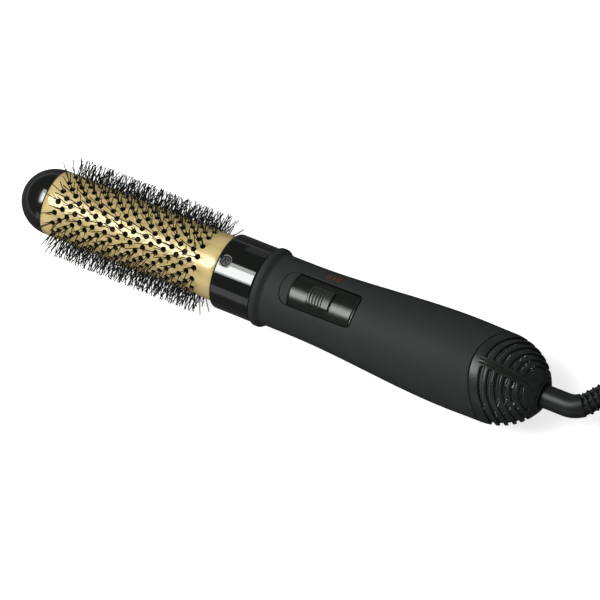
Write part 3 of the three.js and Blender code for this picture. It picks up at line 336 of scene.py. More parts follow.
def gold_aluminium():
    """Anodised aluminium: the dyed layer scatters most of the light, as a paint does, and a
    clear seal over it gives the white glint. The grain is drawn along the barrel."""
    material, tree, shader = new_material(
        "gold_anodised", (0.66, 0.49, 0.22), 0.3,
        metallic=0.12, coat=0.8, coat_roughness=0.06, index=1.35,
    )
    drawn = object_noise(tree, 320, 2, 0.5, (0.08, 1, 1))
    rough = map_range(tree, drawn, 0.25, 0.33)
    tree.links.new(rough, shader.inputs["Roughness"])
    color = mix_colors(tree, drawn, (0.62, 0.46, 0.2), (0.70, 0.52, 0.235))
    tree.links.new(color, shader.inputs["Base Color"])
    add_bump(tree, shader, object_noise(tree, 2500, 2), 0.05, 0.00003)
    return material


# %% Finishes of the product
gold_finish = gold_aluminium()
gloss_finish = moulded(
    "gloss_moulding", (0.005, 0.006, 0.005), 0.07, 0.02,
    coat=1.0, vary=0.015, coat_roughness=0.03, index=1.6,
)
soft_touch = moulded("soft_touch_grey", (0.024, 0.024, 0.025), 0.66, 0.35, vary=0.05, index=1.3)
satin_black = moulded("satin_moulding", (0.016, 0.019, 0.0165), 0.34, 0.2, vary=0.06)
panel_finish = moulded("panel_gloss", (0.009, 0.0115, 0.0095), 0.21, 0.03, vary=0.02)
slider_finish = moulded("slider_satin", (0.02, 0.0225, 0.02), 0.27, 0.05, vary=0.02)
screen_finish = moulded("screen_net", (0.05, 0.056, 0.052), 0.4, 0.1)
inner_black = moulded("inner_moulding", (0.02, 0.02, 0.02), 0.6, 0.2)
bristle_finish = moulded("bristle_nylon", (0.004, 0.0045, 0.004), 0.5, 0.0, index=1.35)
cord_finish = moulded("cord_vinyl", (0.014, 0.015, 0.014), 0.42, 0.25, vary=0.07)
dome_finish = moulded(
    "gloss_dome", (0.005, 0.006, 0.005), 0.15, 0.02,
    coat=1.0, vary=0.03, coat_roughness=0.08, index=1.6,
)
boot_finish = moulded("boot_rubber", (0.013, 0.0145, 0.013), 0.36, 0.2, vary=0.05, index=1.42)
screw_finish = metal("screw_blackened", (0.085, 0.078, 0.078), 0.6, (1, 1, 1), scale=900)
motor_finish = metal("motor_zinc", (0.45, 0.45, 0.46), 0.35, (8, 1, 1), scale=400)
blade_finish = metal("brass_strip", (0.62, 0.44, 0.17), 0.22, (1, 10, 1), scale=300)
mica_finish = moulded("mica_sheet", (0.42, 0.35, 0.24), 0.55, 0.4)
fan_finish = moulded("fan_ivory", (0.62, 0.6, 0.54), 0.5, 0.2)
red_mark = moulded("mark_red", (0.12, 0.03, 0.016), 0.5, 0.05)
print(len(bpy.data.materials), "materials with the frame's own")

# %% [markdown]
# ## The cord
#
# The picture ends on the cord's boot, so the cord itself is put away just outside it: it runs
# from the boot to a round coil of four layers, and its end comes round to the plug. The coil
# is a spiral whose radius changes steadily, with half a turn for each change of layer, and
# smooth lines through a few points lead into it and out of it.

# %% Cord line
CORD_RADIUS = 3 * MM
COIL_MIDDLE = np.array([REAR_X + 83 * MM, 19.7 * MM])
COIL_OUTER, TURN_PITCH, LAYER_PITCH = 37 * MM, 7.4 * MM, 6.6 * MM
LAYERS, LAYER_TURNS, CLIMB_TURNS, TAIL_TURNS = 4, 26 / 16, 0.5, 1 / 16
ENTRY = math.radians(112.5)
COIL_POINTS, LEAD_POINTS, TAIL_POINTS = 400, 24, 60
STRAIGHT_RUN = 6 * MM
TAIL_BEND = 24 * MM
BOOT_BEND = 0.925
BOOT_STRAIGHT, BOOT_BEND_RADIUS, BOOT_RIB_RUN = 13.5 * MM, 14 * MM, 19.2 * MM


def coil_line(turns):
    """Radius falls by one pitch a turn on the way in and grows on the way out; the height
    falls by one layer in each half turn between. Angle = entry - 2 pi * turns."""
    run = LAYER_TURNS + CLIMB_TURNS
    layer = np.minimum(np.floor(turns / run + 1e-9), LAYERS - 1)
    within = turns - layer * run
    share = np.clip(within / LAYER_TURNS, 0, 1)
    inward = np.where(layer % 2 == 1, 1 - share, share)
    radius = COIL_OUTER - TURN_PITCH * LAYER_TURNS * inward
    drop = np.clip((within - LAYER_TURNS) / CLIMB_TURNS, 0, 1)
    drop = np.where(layer == LAYERS - 1, 0, drop)
    drop = drop * drop * (3 - 2 * drop) * 0.5 + drop * 0.5
    angle = ENTRY - TURN * turns
    x = COIL_MIDDLE[0] + radius * np.cos(angle)
    y = COIL_MIDDLE[1] + radius * np.sin(angle)
    return np.stack([x, y, CORD_RADIUS + (LAYERS - 1 - layer - drop) * LAYER_PITCH], -1)


def curve_through(points, count):
    """A smooth line through a few points: the four-point rule
    0.5 * (2b + (c-a)t + (2a-5b+4c-d)t^2 + (3b-a-3c+d)t^3) on each span."""
    p = np.asarray(points, float)
    p = np.vstack([2 * p[0] - p[1], p, 2 * p[-1] - p[-2]])
    at = np.linspace(0, len(p) - 3 - 1e-9, count)
    i = at.astype(int)
    t = (at - i)[:, None]
    a, b, c, d = p[i], p[i + 1], p[i + 2], p[i + 3]
    cubic = 3 * b - a - 3 * c + d
    return 0.5 * (2 * b + (c - a) * t + (2 * a - 5 * b + 4 * c - d) * t**2 + cubic * t**3)


coil_turns = LAYERS * LAYER_TURNS + (LAYERS - 1) * CLIMB_TURNS + TAIL_TURNS
coil = coil_line(np.linspace(0, coil_turns, COIL_POINTS))
elbow = np.array([
    REAR_X + BOOT_STRAIGHT + BOOT_BEND_RADIUS * math.sin(BOOT_BEND),
    BOOT_BEND_RADIUS * (1 - math.cos(BOOT_BEND)),
    AXIS_Z,
])
boot_heading = np.array([math.cos(BOOT_BEND), math.sin(BOOT_BEND), 0])
boot_end = elbow + boot_heading * BOOT_RIB_RUN
cord_start = boot_end + boot_heading * 0.3 * MM
enter_heading = (coil[1] - coil[0]) / np.linalg.norm(coil[1] - coil[0])
coil_entry = coil[0] - enter_heading * STRAIGHT_RUN
lead_points = [cord_start, cord_start + boot_heading * STRAIGHT_RUN]
lead_points += [coil_entry - enter_heading * STRAIGHT_RUN, coil_entry]
lead = curve_through(lead_points, LEAD_POINTS)
leave_heading = (coil[-1] - coil[-2]) / np.linalg.norm(coil[-1] - coil[-2])
tail_start = coil[-1] + leave_heading * STRAIGHT_RUN
plug_low, plug_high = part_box("plug_body")
plug_x = (plug_low[0] + plug_high[0]) / 2
plug_z = (plug_low[2] + plug_high[2]) / 2
plug_rear = plug_high[1] + CLEARANCE
bend_angle = np.linspace(0, 1, 4, endpoint=False) * math.pi / 2
tail_bend = np.stack([
    plug_x - TAIL_BEND + TAIL_BEND * np.sin(bend_angle),
    tail_start[1] - TAIL_BEND * (1 - np.cos(bend_angle)) + STRAIGHT_RUN * np.arange(4) / 4,
    tail_start[2] + (plug_z - tail_start[2]) * (np.arange(4) + 1) / 5,
], -1)
tail_end = [[plug_x, plug_rear + STRAIGHT_RUN, plug_z], [plug_x, plug_rear, plug_z]]
tail_points = np.vstack([tail_start, tail_start + [STRAIGHT_RUN, 0, 0], tail_bend, tail_end])
tail = curve_through(tail_points, TAIL_POINTS)
cord_line = np.vstack([lead, coil, tail])

# %% [markdown]
# A tube needs a ring of points square to its line at each step. Nowhere does this line run
# straight up, so the ring's sides can be taken from the line's heading and the vertical alone,
# and the tube never twists.

# %% Tubes along a line


def headings(line):
    """Heading = the difference of the neighbouring points, made one long."""
    ahead = np.gradient(line, axis=0)
    return ahead / np.linalg.norm(ahead, axis=1, keepdims=True)


def tube_points(line, radius, angles):
    """Point = line + radius * (side * cos(angle) + top * sin(angle)), where side = heading x
    vertical, made one long, and top = side x heading."""
    ahead = headings(line)
    side = np.cross(ahead, [0.0, 0.0, 1.0])
    side /= np.linalg.norm(side, axis=1, keepdims=True)
    top = np.cross(side, ahead)
    angles = angles[None, :, None]
    ring = side[:, None] * np.cos(angles) + top[:, None] * np.sin(angles)
    return line[:, None] + np.broadcast_to(radius, ring.shape[:2])[:, :, None] * ring


def tube_along(name, line, radius, angles, material, body):
    """A closed tube: its end rings shrink to their middle, which closes the ends."""
    rings = tube_points(line, radius, angles)
    rings = np.concatenate([rings[:1].mean(1, keepdims=True) + 0 * rings[:1], rings])
    rings = np.concatenate([rings, rings[-1:].mean(1, keepdims=True) + 0 * rings[-1:]])
    faces = grid_faces(len(rings), len(angles), close_columns=True)
    piece = add_piece(name, rings.reshape(-1, 3), faces, material, body)
    return merge_and_face_out(piece)


# %% Cord
cord = tube_along("cord", cord_line, CORD_RADIUS, full_circle(16), cord_finish, None)
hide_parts("cord_lead", "cord_coil", "cord_tail")
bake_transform(cord)
print("cord made of", len(cord.data.polygons), "faces")

# %% [markdown]
# ## The plug
#
# The plug's body is a block with soft corners, a little slimmer toward its rear, where it
# narrows into a neck for the cord. One section, a rounded rectangle, is carried from the face
# to the neck while its width, thickness and roundness change.

# %% Plug
PLUG_FACE_Y = plug_low[1]


def super_ring(x, y, z, half_x, half_z, power, steps=64):
    """Rounded rectangle: each side's share is sign(c) * |c|^(2/power), with c the cosine for
    the width and the sine for the height."""
    angle = full_circle(steps)
    c, s = np.cos(angle), np.sin(angle)
    across = np.sign(c) * np.abs(c) ** (2 / power)
    upright = np.sign(s) * np.abs(s) ** (2 / power)
    return np.stack([x + half_x * across, y + 0 * angle, z + half_z * upright], -1)


def plug_rings():
    """Stations from the face to the neck, each with half width, half thickness and power."""
    mm_rows = np.array([
        [0, 0, 0, 5], [0, 11.3, 7.8, 5], [0.35, 12.1, 8.6, 5], [1.2, 12.5, 9, 5],
        [9, 12.5, 9, 5], [18, 12.3, 8.7, 4.6], [24, 11.6, 8.0, 4], [27, 9.8, 7.0, 3.4],
        [28.3, 7.2, 6.0, 2.6], [29.5, 5.4, 5.2, 2.1], [33, 4.7, 4.7, 2], [36, 4.4, 4.4, 2],
        [38.5, 4.2, 4.2, 2], [39, 3.9, 3.9, 2], [39, 0, 0, 2],
    ])
    smooth = curve_through(mm_rows[3:13], 40)
    rows = np.vstack([mm_rows[:3], smooth, mm_rows[13:]])
    return np.array([
        super_ring(plug_x, PLUG_FACE_Y + y * MM, plug_z, half_x * MM, half_z * MM, power)
        for y, half_x, half_z, power in rows
    ])


rings = plug_rings()
plug_faces = grid_faces(*rings.shape[:2], close_columns=True)
plug = merge_and_face_out(add_piece("plug", rings.reshape(-1, 3), plug_faces, cord_finish))
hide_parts("plug_body")
print("plug's face at y", round(PLUG_FACE_Y, 4))

# %% [markdown]
# ## Lights, floor and background
#
# One large soft box hangs nearly overhead, toward the barrel's end, where the barrel and the
# collar mirror it as one long bright band. A smaller one in front of it makes the band's
# middle brighter, because two lamps in line add up in a mirror. Two weak panels fill from the
# front and the rear. Black gloss shows the room as much as its own colour: round this brush
# the room is nearly dark to glossy rays. The floor they meet glows with a painted reflection:
# dark near the brush, as a painted shadow, and brighter with distance. To the camera the floor
# and the world are plain white, and the floor still takes the shadow.

# %% Lights


def area_light(name, place, size_x, size_y, power, color, across=(1, 0, 0)):
    """A rectangular lamp that faces the brush's middle, with its width along a direction."""
    data = bpy.data.lights.new(name, "AREA")
    data.shape = "RECTANGLE"
    data.size, data.size_y = size_x, size_y
    data.energy = power
    data.color = color
    lamp = bpy.data.objects.new(name, data)
    bpy.context.scene.collection.objects.link(lamp)
    back = np.array(place, float)
    back /= np.linalg.norm(back)
    right = np.array(across, float)
    right -= back * right.dot(back)
    right /= np.linalg.norm(right)
    turn = Matrix([right, np.cross(back, right), back]).transposed().to_4x4()
    lamp.matrix_world = Matrix.Translation(Vector(place)) @ turn
    return lamp


area_light("soft_box", (-0.36, -0.135, 0.90), 0.80, 0.68, 6.2, (0.93, 1.0, 0.96))
area_light("soft_box_core", (-0.34, -0.18, 0.86), 0.60, 0.40, 4.0, (0.97, 1.0, 0.97))
area_light("front_fill", (0.1, -1.3, 0.27), 2.4, 0.5, 1.5, (1.0, 1.0, 1.0))
area_light("rear_fill", (0.3, 1.4, 0.36), 2.0, 0.66, 0.5, (0.97, 1.0, 1.0))

# %% World


def emptied(owner):
    """Turns an owner's nodes on and clears its tree."""
    owner.use_nodes = True
    owner.node_tree.nodes.clear()
    return owner.node_tree


WORLD_LIT, WORLD_MIRRORED, WORLD_SEEN = 0.25, 0.045, 1.15
world = bpy.data.worlds.new("studio")
bpy.context.scene.world = world
tree = emptied(world)
rays = add_node(tree, "ShaderNodeLightPath").outputs
unseen = map_range(tree, rays["Is Glossy Ray"], WORLD_LIT, WORLD_MIRRORED, 0, 1)
strength = map_range(tree, rays["Is Camera Ray"], WORLD_LIT, WORLD_SEEN, 0, 1)
shade = add_node(tree, "ShaderNodeBackground")
shade.inputs["Color"].default_value = (0.9, 0.93, 0.92, 1)
world_out = add_node(tree, "ShaderNodeOutputWorld")
tree.links.new(unseen, strength.node.inputs["To Min"])
tree.links.new(strength, shade.inputs["Strength"])
tree.links.new(shade.outputs["Background"], world_out.inputs["Surface"])
print("world", WORLD_LIT, "lit,", WORLD_MIRRORED, "mirrored,", WORLD_SEEN, "seen")

# %% Floor
# FLOOR_NEAR and FLOOR_FAR set the floor's painted reflection: a painted shadow near the brush, and
# painted light further off.
FLOOR_SEEN, FLOOR_NEAR, FLOOR_FAR = 0.7, 0.05, 0.34
NEAR_REACH, FAR_REACH = 0.2, 1.1
FLOOR_HALF, FLOOR_Z = 6.0, -0.0002
floor_material = bpy.data.materials.new("floor_white")
tree = emptied(floor_material)
rays = add_node(tree, "ShaderNodeLightPath").outputs
diffuse = add_node(tree, "ShaderNodeBsdfDiffuse")
diffuse.inputs["Color"].default_value = (0.72, 0.72, 0.72, 1)
glow = add_node(tree, "ShaderNodeEmission")
seen = map_range(tree, rays["Is Camera Ray"], 0, FLOOR_SEEN, 0, 1)
tree.links.new(seen, glow.inputs["Strength"])
lit = add_node(tree, "ShaderNodeAddShader")
tree.links.new(diffuse.outputs["BSDF"], lit.inputs[0])
tree.links.new(glow.outputs["Emission"], lit.inputs[1])
# Painted shade: to glossy rays the floor glows dim near the brush and brighter far off, a painted
# reflection of a lit table with the brush's painted shadow on it.
place = add_node(tree, "ShaderNodeTexCoord")
reach = add_node(tree, "ShaderNodeVectorMath", operation="LENGTH")
tree.links.new(place.outputs["Object"], reach.inputs[0])
mirrored = add_node(tree, "ShaderNodeEmission")
gradient = map_range(tree, reach.outputs["Value"], FLOOR_NEAR, FLOOR_FAR, NEAR_REACH, FAR_REACH)
tree.links.new(gradient, mirrored.inputs["Strength"])
choice = add_node(tree, "ShaderNodeMixShader")
tree.links.new(rays["Is Glossy Ray"], choice.inputs["Fac"])
tree.links.new(lit.outputs["Shader"], choice.inputs[1])
tree.links.new(mirrored.outputs["Emission"], choice.inputs[2])
floor_out = add_node(tree, "ShaderNodeOutputMaterial")
tree.links.new(choice.outputs["Shader"], floor_out.inputs["Surface"])

floor_mesh = bpy.data.meshes.new("floor")
corners = ((-1, -1), (1, -1), (1, 1), (-1, 1))
corners = [(x * FLOOR_HALF, y * FLOOR_HALF, FLOOR_Z) for x, y in corners]
floor_mesh.from_pydata(corners, [], [(0, 1, 2, 3)])
floor = bpy.data.objects.new("floor", floor_mesh)
bpy.context.scene.collection.objects.link(floor)
floor_mesh.materials.append(floor_material)
bpy.context.scene.view_settings.view_transform = "Standard"
print("floor", 2 * FLOOR_HALF, "m wide")

# %% [markdown]
# ## The tip cap
#
# A moulded dome with its spigot pushed into the barrel. It is a plain turned piece, so a
# profile of station and radius, turned about the axis, gives all of it. The dome is a quarter
# of an ellipse.

# %% Tip cap
BARREL_WALL = 0.8 * MM
SPIGOT_RADIUS = BARREL_RADIUS - BARREL_WALL - 2 * CLEARANCE
SPIGOT_DEPTH, SPIGOT_WALL = 5 * MM, 1.6 * MM
TIP_BAND = 1.1 * MM


def quarter_ellipse(start, length, radius, steps):
    """Station = start + length * (1 - cos(a)), radius = radius * sin(a)."""
    a = np.linspace(0, np.pi / 2, steps)
    return np.stack([start + length * (1 - np.cos(a)), radius * np.sin(a)], -1)


dome = quarter_ellipse(TIP_X, TIP_LENGTH - TIP_BAND, BARREL_RADIUS, 40)
tip_rows = np.array([
    [BARREL_START - 0.6 * MM, BARREL_RADIUS],
    [BARREL_START - 0.35 * MM, BARREL_RADIUS - 0.3 * MM],
    [BARREL_START - 0.3 * MM, SPIGOT_RADIUS],
    [BARREL_START + SPIGOT_DEPTH, SPIGOT_RADIUS],
    [BARREL_START + SPIGOT_DEPTH, SPIGOT_RADIUS - SPIGOT_WALL],
    [BARREL_START - 0.8 * MM, SPIGOT_RADIUS - SPIGOT_WALL],
    [BARREL_START - 0.8 * MM, 0],
])
tip = turned("tip_dome", np.vstack([dome, tip_rows]), dome_finish, closed=False)
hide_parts("tip_cap")
print("tip cap", len(tip.data.polygons), "faces")

# %% [markdown]
# ## The perforated barrel
#
# The barrel is a thin aluminium tube with staggered rows of punched holes. Cutting hundreds
# of holes with booleans is slow and leaves poor faces. Here one hole and the diamond of metal
# round it are made once, as rings of points, and the diamond is laid on every place of the
# lattice. The diamonds share their edges, so they join into one skin.

# %% Hole lattice
HOLE_ROWS = 36
HOLE_PITCH = 8.26 * MM
HOLE_RADIUS = 1.6 * MM
HOLES_IN_ROW = 12
ROW_TURN = TURN / HOLE_ROWS
ROW_PHASE = math.radians(10.5)
FIRST_HOLE = BARREL_START + 8.2 * MM
BARREL_END = COLLAR_START + 3 * MM
CELL_POINTS = 16
CELL_QUARTER = CELL_POINTS // 4


def hole_places():
    """Station and angle of every hole: odd rows are half a pitch further on, one hole fewer."""
    row, count = np.meshgrid(np.arange(HOLE_ROWS), np.arange(HOLES_IN_ROW), indexing="ij")
    odd = row % 2
    keep = count < HOLES_IN_ROW - odd
    station = FIRST_HOLE + (count + 0.5 * odd) * HOLE_PITCH
    return station[keep], (ROW_PHASE + row * ROW_TURN)[keep]


def diamond(reach_x, reach_angle):
    """The diamond's outline in 16 points: |x| / reach_x + |angle| / reach_angle = 1, with the
    points at even quarters of each side."""
    t = np.arange(CELL_POINTS) / CELL_QUARTER
    wave = np.abs((t % 4) - 2) - 1
    side = np.abs(((t + 3) % 4) - 2) - 1
    return wave * reach_x, side * reach_angle


hole_x, hole_turn = hole_places()
cell_x, cell_turn = diamond(HOLE_PITCH / 2, ROW_TURN)
cell_angle = full_circle(CELL_POINTS)
RIM_ROWS = [(1.0, -0.8), (1.0, -0.2), (1.02, -0.08), (1.07, -0.01), (1.14, 0.02), (1.24, 0.0)]


def barrel_skin():
    """Rings of one cell, from the inner diamond through the hole to the outer diamond, laid on
    every hole. Each ring is (station, angle, height over the surface)."""
    inner = (cell_x, cell_turn, -BARREL_WALL + 0 * cell_x)
    rings = [inner]
    for size, depth in RIM_ROWS:
        radius = HOLE_RADIUS * size
        x = radius * np.cos(cell_angle)
        turn = radius * np.sin(cell_angle) / BARREL_RADIUS
        rings.append((x, turn, depth * MM + 0 * x))
    rings.append((cell_x, cell_turn, 0 * cell_x))
    cell = np.array(rings)
    x = hole_x[:, None, None] + cell[None, :, 0]
    turn = hole_turn[:, None, None] + cell[None, :, 1]
    points = ring_points(x, BARREL_RADIUS + cell[None, :, 2], turn)
    faces = grid_faces(len(rings), CELL_POINTS, close_columns=True)
    offsets = np.arange(len(hole_x))[:, None, None] * points.shape[1] * CELL_POINTS
    return points.reshape(-1, 3), (faces[None] + offsets).reshape(-1, 4)


def barrel_end_rows(edge, zigzag_x, inward):
    """The plain band between the zigzag of the last diamonds and the tube's end, on the
    outer and the inner side. The zigzag is a triangle wave of the angle."""
    steps = HOLE_ROWS * CELL_QUARTER
    turn = ROW_PHASE + full_circle(steps)
    wave = np.abs(((np.arange(steps) / CELL_QUARTER + 1) % 2) - 1)
    zigzag = zigzag_x + inward * wave * HOLE_PITCH / 2
    share = np.array([0, 0.5, 1.0])[:, None]
    x = zigzag * (1 - share) + edge * share
    outer = ring_points(x, BARREL_RADIUS, turn)
    inner = ring_points(x, BARREL_RADIUS - BARREL_WALL, turn)
    return np.concatenate([outer, inner[::-1]])


front_zigzag = FIRST_HOLE - HOLE_PITCH / 2
rear_zigzag = FIRST_HOLE + (HOLES_IN_ROW - 0.5) * HOLE_PITCH
points, faces = barrel_skin()
front = barrel_end_rows(BARREL_START, front_zigzag, 1)
rear = barrel_end_rows(BARREL_END, rear_zigzag, -1)
band = grid_faces(len(front), front.shape[1], close_columns=True)
front_first, rear_first = len(points), len(points) + front[..., 0].size
points = np.concatenate([points, front.reshape(-1, 3), rear.reshape(-1, 3)])
faces = np.concatenate([faces, band + front_first, band + rear_first])
barrel = merge_and_face_out(add_piece("perforated_barrel", points, faces, gold_finish), 2e-5)
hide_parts("barrel_tube")
print(len(hole_x), "holes,", len(barrel.data.polygons), "faces")

# %% [markdown]
# ## The bristles
#
# Each hole holds a tuft of stiff nylon strands that start in a sleeve inside the barrel. The
# strands of a tuft fan out along the barrel, so from the side they cross like the letter X.
# A strand is a thin three-sided rod. Its line is straight, apart from the lowest ones, which
# spread flat where the table holds them. All the strands are worked out at once, as an array
# of strand by step by side, with a seeded random lean for each.

# %% Strands
STRANDS_IN_TUFT = 3
STRAND_RADIUS = 0.32 * MM
STRAND_TIP_RADIUS = 29.3 * MM
STRAND_SIDES = 3
STRAND_STEPS = 5
STRAND_SUNK = 0.6 * MM
TUFT_LEAN, TUFT_SPREAD = 0.30, 0.55 * MM
LEAN_ERROR, FAN_ERROR, TURN_ERROR = 0.10, 0.055, 0.022
ROOT_ERROR, REACH_ERROR, BOW_ERROR = 0.12 * MM, 0.5 * MM, 0.35 * MM
LAID_OUT = 1.4
SLEEVE_RADIUS, SLEEVE_WALL, SLEEVE_SIDES = SPIGOT_RADIUS, 1.6 * MM, 72


def strand_lines(x, turn):
    """Point at a share along = hole centre at the surface, moved out along the radius, along
    the barrel by tan(lean), and round it by a small fan angle. Each ERROR is the standard
    deviation of a random part. Height is held above the table by bending: what would lie
    below it is laid outward along y instead."""
    count = len(x) * STRANDS_IN_TUFT
    x = np.repeat(x, STRANDS_IN_TUFT)
    turn = np.repeat(turn, STRANDS_IN_TUFT)
    spread = np.tile(np.linspace(-1, 1, STRANDS_IN_TUFT), len(x) // STRANDS_IN_TUFT)
    lean = TUFT_LEAN * spread + rng.normal(0, LEAN_ERROR, count)
    fan = rng.normal(0, FAN_ERROR, count)
    root_x = x + TUFT_SPREAD * spread + rng.normal(0, ROOT_ERROR, count)
    root_turn = turn + rng.normal(0, TURN_ERROR, count)
    reach = STRAND_TIP_RADIUS - np.abs(rng.normal(0, REACH_ERROR, count))
    bow = rng.normal(0, BOW_ERROR, count)
    share = np.linspace(0, 1, STRAND_STEPS)[None, :]
    start = SLEEVE_RADIUS - STRAND_SUNK
    radius = start + (reach[:, None] - start) * share
    out = radius - BARREL_RADIUS
    station = root_x[:, None] + np.tan(lean)[:, None] * out + bow[:, None] * share * (1 - share)
    angle = root_turn[:, None] + fan[:, None] * share
    points = ring_points(station, radius, angle)
    low = STRAND_RADIUS + 0.0001
    sunk = np.maximum(low - points[..., 2], 0)
    points[..., 1] += LAID_OUT * sunk * np.where(points[..., 1] >= 0, 1, -1)
    points[..., 2] = np.maximum(points[..., 2], low)
    return points, angle


def strand_mesh(x, turn):
    """Each strand's ring is three points round its line, square to the radius."""
    lines, angle = strand_lines(x, turn)
    around = full_circle(STRAND_SIDES)
    width = STRAND_RADIUS * np.linspace(1.05, 0.92, STRAND_STEPS)[None, :, None]
    along = width * np.cos(around)
    across = width * np.sin(around)
    angle = angle[..., None]
    offset = np.stack([along + 0 * angle, across * np.cos(angle), -across * np.sin(angle)], -1)
    points = lines[:, :, None] + offset
    size = STRAND_STEPS * STRAND_SIDES
    quads = grid_faces(STRAND_STEPS, STRAND_SIDES, close_columns=True)
    ends = np.array([[2, 1, 0], size - 3 + np.arange(3)])
    offsets = np.arange(len(lines))[:, None, None] * size
    return points.reshape(-1, 3), (quads + offsets).reshape(-1, 4), (ends + offsets).reshape(-1, 3)


# %% Sleeves with their tufts
def sleeve_rings(start, end):
    """The sleeve is a short tube just inside the barrel."""
    inner = SLEEVE_RADIUS - SLEEVE_WALL
    profile = [[start, inner], [start, SLEEVE_RADIUS], [end, SLEEVE_RADIUS], [end, inner]]
    profile = np.array(profile)
    return ring_points(profile[:, :1], profile[:, 1:], full_circle(SLEEVE_SIDES)[None, :])


sleeve_ends = [FIRST_HOLE + pitches * HOLE_PITCH for pitches in (2.75, 5.75, 7.75)]
sleeve_ends.append(COLLAR_START - 6.3 * MM)
tube_faces = grid_faces(4, SLEEVE_SIDES, close_rows=True, close_columns=True)
strand_total = 0
sleeve_end = BARREL_START + SPIGOT_DEPTH
for number, next_end in enumerate(sleeve_ends, 1):
    sleeve_start, sleeve_end = sleeve_end + CLEARANCE, next_end
    mine = (hole_x > sleeve_start) & (hole_x < sleeve_end)
    tube = sleeve_rings(sleeve_start, sleeve_end)
    points, quads, ends = strand_mesh(hole_x[mine], hole_turn[mine])
    first = tube[..., 0].size
    faces = [tube_faces, quads + first, ends + first]
    points = np.concatenate([tube.reshape(-1, 3), points])
    tuft = add_piece(f"bristles_{number}", points, faces, bristle_finish)
    merge_and_face_out(tuft)
    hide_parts(f"bristle_sleeve_{number}")
    strand_total += int(mine.sum()) * STRANDS_IN_TUFT
print(strand_total, "strands")

# %% [markdown]
# ## Walls with holes
#
# The collar, the handle, the switch panel and the rear cap are all the same kind of thing: a
# wall between an outer and an inner surface, with holes in it. Both surfaces are grids of the
# same shape. Where a hole goes, a patch of cells is left out, and the patch's border leads
# over a few rings of points, outside to inside, that shape the hole. The faces stay even, and
# the hole's edge can be rounded by its first rings.

# %% Pierced walls


def border_steps(tall, wide):
    """Row and column steps from a patch's first corner, once round its border."""
    along, across = np.arange(tall), np.arange(wide)
    row = np.concatenate([0 * across, along, tall + 0 * across, tall - along])
    column = np.concatenate([across, wide + 0 * along, wide - across, 0 * along])
    return row, column


def chain_faces(chain, close=True):
    """Quads between neighbouring rows of point numbers."""
    return chain.ravel()[grid_faces(*chain.shape, close_columns=close)]


def pierced_wall(outer, inner, holes=(), round_it=True):
    """A closed wall between two grids. A hole is (row, column, tall, wide, rings)."""
    rows, columns = outer.shape[:2]
    number = np.arange(rows * columns).reshape(rows, columns)
    behind = rows * columns
    keep = np.ones((rows - 1, columns if round_it else columns - 1), bool)
    points, faces = [outer.reshape(-1, 3), inner.reshape(-1, 3)], []
    count = 2 * behind
    for row, column, tall, wide, rings in holes:
        keep[row : row + tall, (column + np.arange(wide)) % columns] = False
        down, right = border_steps(tall, wide)
        border = number[row + down, (column + right) % columns]
        between = count + np.arange(rings[..., 0].size).reshape(rings.shape[:2])
        faces.append(chain_faces(np.vstack([border, between, border + behind])))
        points.append(rings.reshape(-1, 3))
        count += between.size
    cells = grid_faces(rows, columns, close_columns=round_it)[keep.ravel()]
    faces += [cells, cells + behind]
    faces += [chain_faces(np.stack([number[r], number[r] + behind]), round_it) for r in (0, -1)]
    if not round_it:
        sides = [number[:, c] for c in (0, -1)]
        faces += [chain_faces(np.stack([side, side + behind]), False) for side in sides]
    return np.concatenate(points), np.concatenate(faces)


def smoothstep(value, low, high):
    """t * t * (3 - 2t), with t the share of the way from low to high, held in 0..1."""
    t = np.clip((value - low) / (high - low), 0, 1)
    return t * t * (3 - 2 * t)


def arc(center_x, center_r, radius, start, end, steps):
    """Points (x, r) = centre + radius * (cos a, sin a), with a in degrees from start to end."""
    a = np.radians(np.linspace(start, end, steps))
    return np.stack([center_x + radius * np.cos(a), center_r + radius * np.sin(a)], -1)


# %% [markdown]
# ## The collar
#
# A gloss moulding that closes on the barrel's end. Its front and rear edges are rounded, so
# the long highlight bends at both ends. Three counterbores take the screws: a patch of the
# grid is left out round each, and its rings go from the surface down to a flat seat, through
# a small hole and out on the inside.

# %% Collar profile
COLLAR_RADIUS = 21.7 * MM
COLLAR_BORE = 19.6 * MM
COLLAR_END = FLANGE_START - CLEARANCE
SCREW_X = COLLAR_START + 5.4 * MM
SCREW_TOP = COLLAR_RADIUS - CLEARANCE
HEAD_RADIUS, HEAD_HEIGHT, SHANK_RADIUS = 2.9 * MM, 1.1 * MM, 1.1 * MM
SCREWS = 3
COLLAR_COLUMNS = 240
FRONT_ROUND, REAR_ROUND = 1.8 * MM, 1.3 * MM
BORE_TALL, BORE_WIDE = 8, 16


def level(x, radius):
    """A straight run of a profile: the same radius at every station."""
    return np.stack([x, radius + 0 * x], -1)


collar_turns = np.radians(np.arange(COLLAR_COLUMNS) * 360 / COLLAR_COLUMNS)
front_arc = arc(COLLAR_START + FRONT_ROUND, COLLAR_RADIUS - FRONT_ROUND, FRONT_ROUND, 180, 90, 9)
rear_arc = arc(COLLAR_END - REAR_ROUND, COLLAR_RADIUS - REAR_ROUND, REAR_ROUND, 90, 0, 8)
patch_x = SCREW_X + np.linspace(-3.6, 3.6, BORE_TALL + 1)[1:] * MM
collar_outer = np.vstack([front_arc, level(patch_x, COLLAR_RADIUS), rear_arc])
lip_x = COLLAR_START + np.linspace(0, 2.4, 7) * MM
bore_x = np.concatenate([
    [COLLAR_START + 2.4 * MM],
    SCREW_X + np.linspace(-2.8, 2.8, 9) * MM,
    np.linspace(COLLAR_END - 6 * MM, COLLAR_END, 8),
])
collar_inner = np.vstack([level(lip_x, BARREL_RADIUS + CLEARANCE), level(bore_x, COLLAR_BORE)])
print("collar profile", len(collar_outer), "outer and", len(collar_inner), "inner points")

# %% Collar
patch_down, patch_right = border_steps(BORE_TALL, BORE_WIDE)
patch_angle = np.arctan2(patch_right - BORE_WIDE / 2, 2.0 * (patch_down - BORE_TALL / 2))


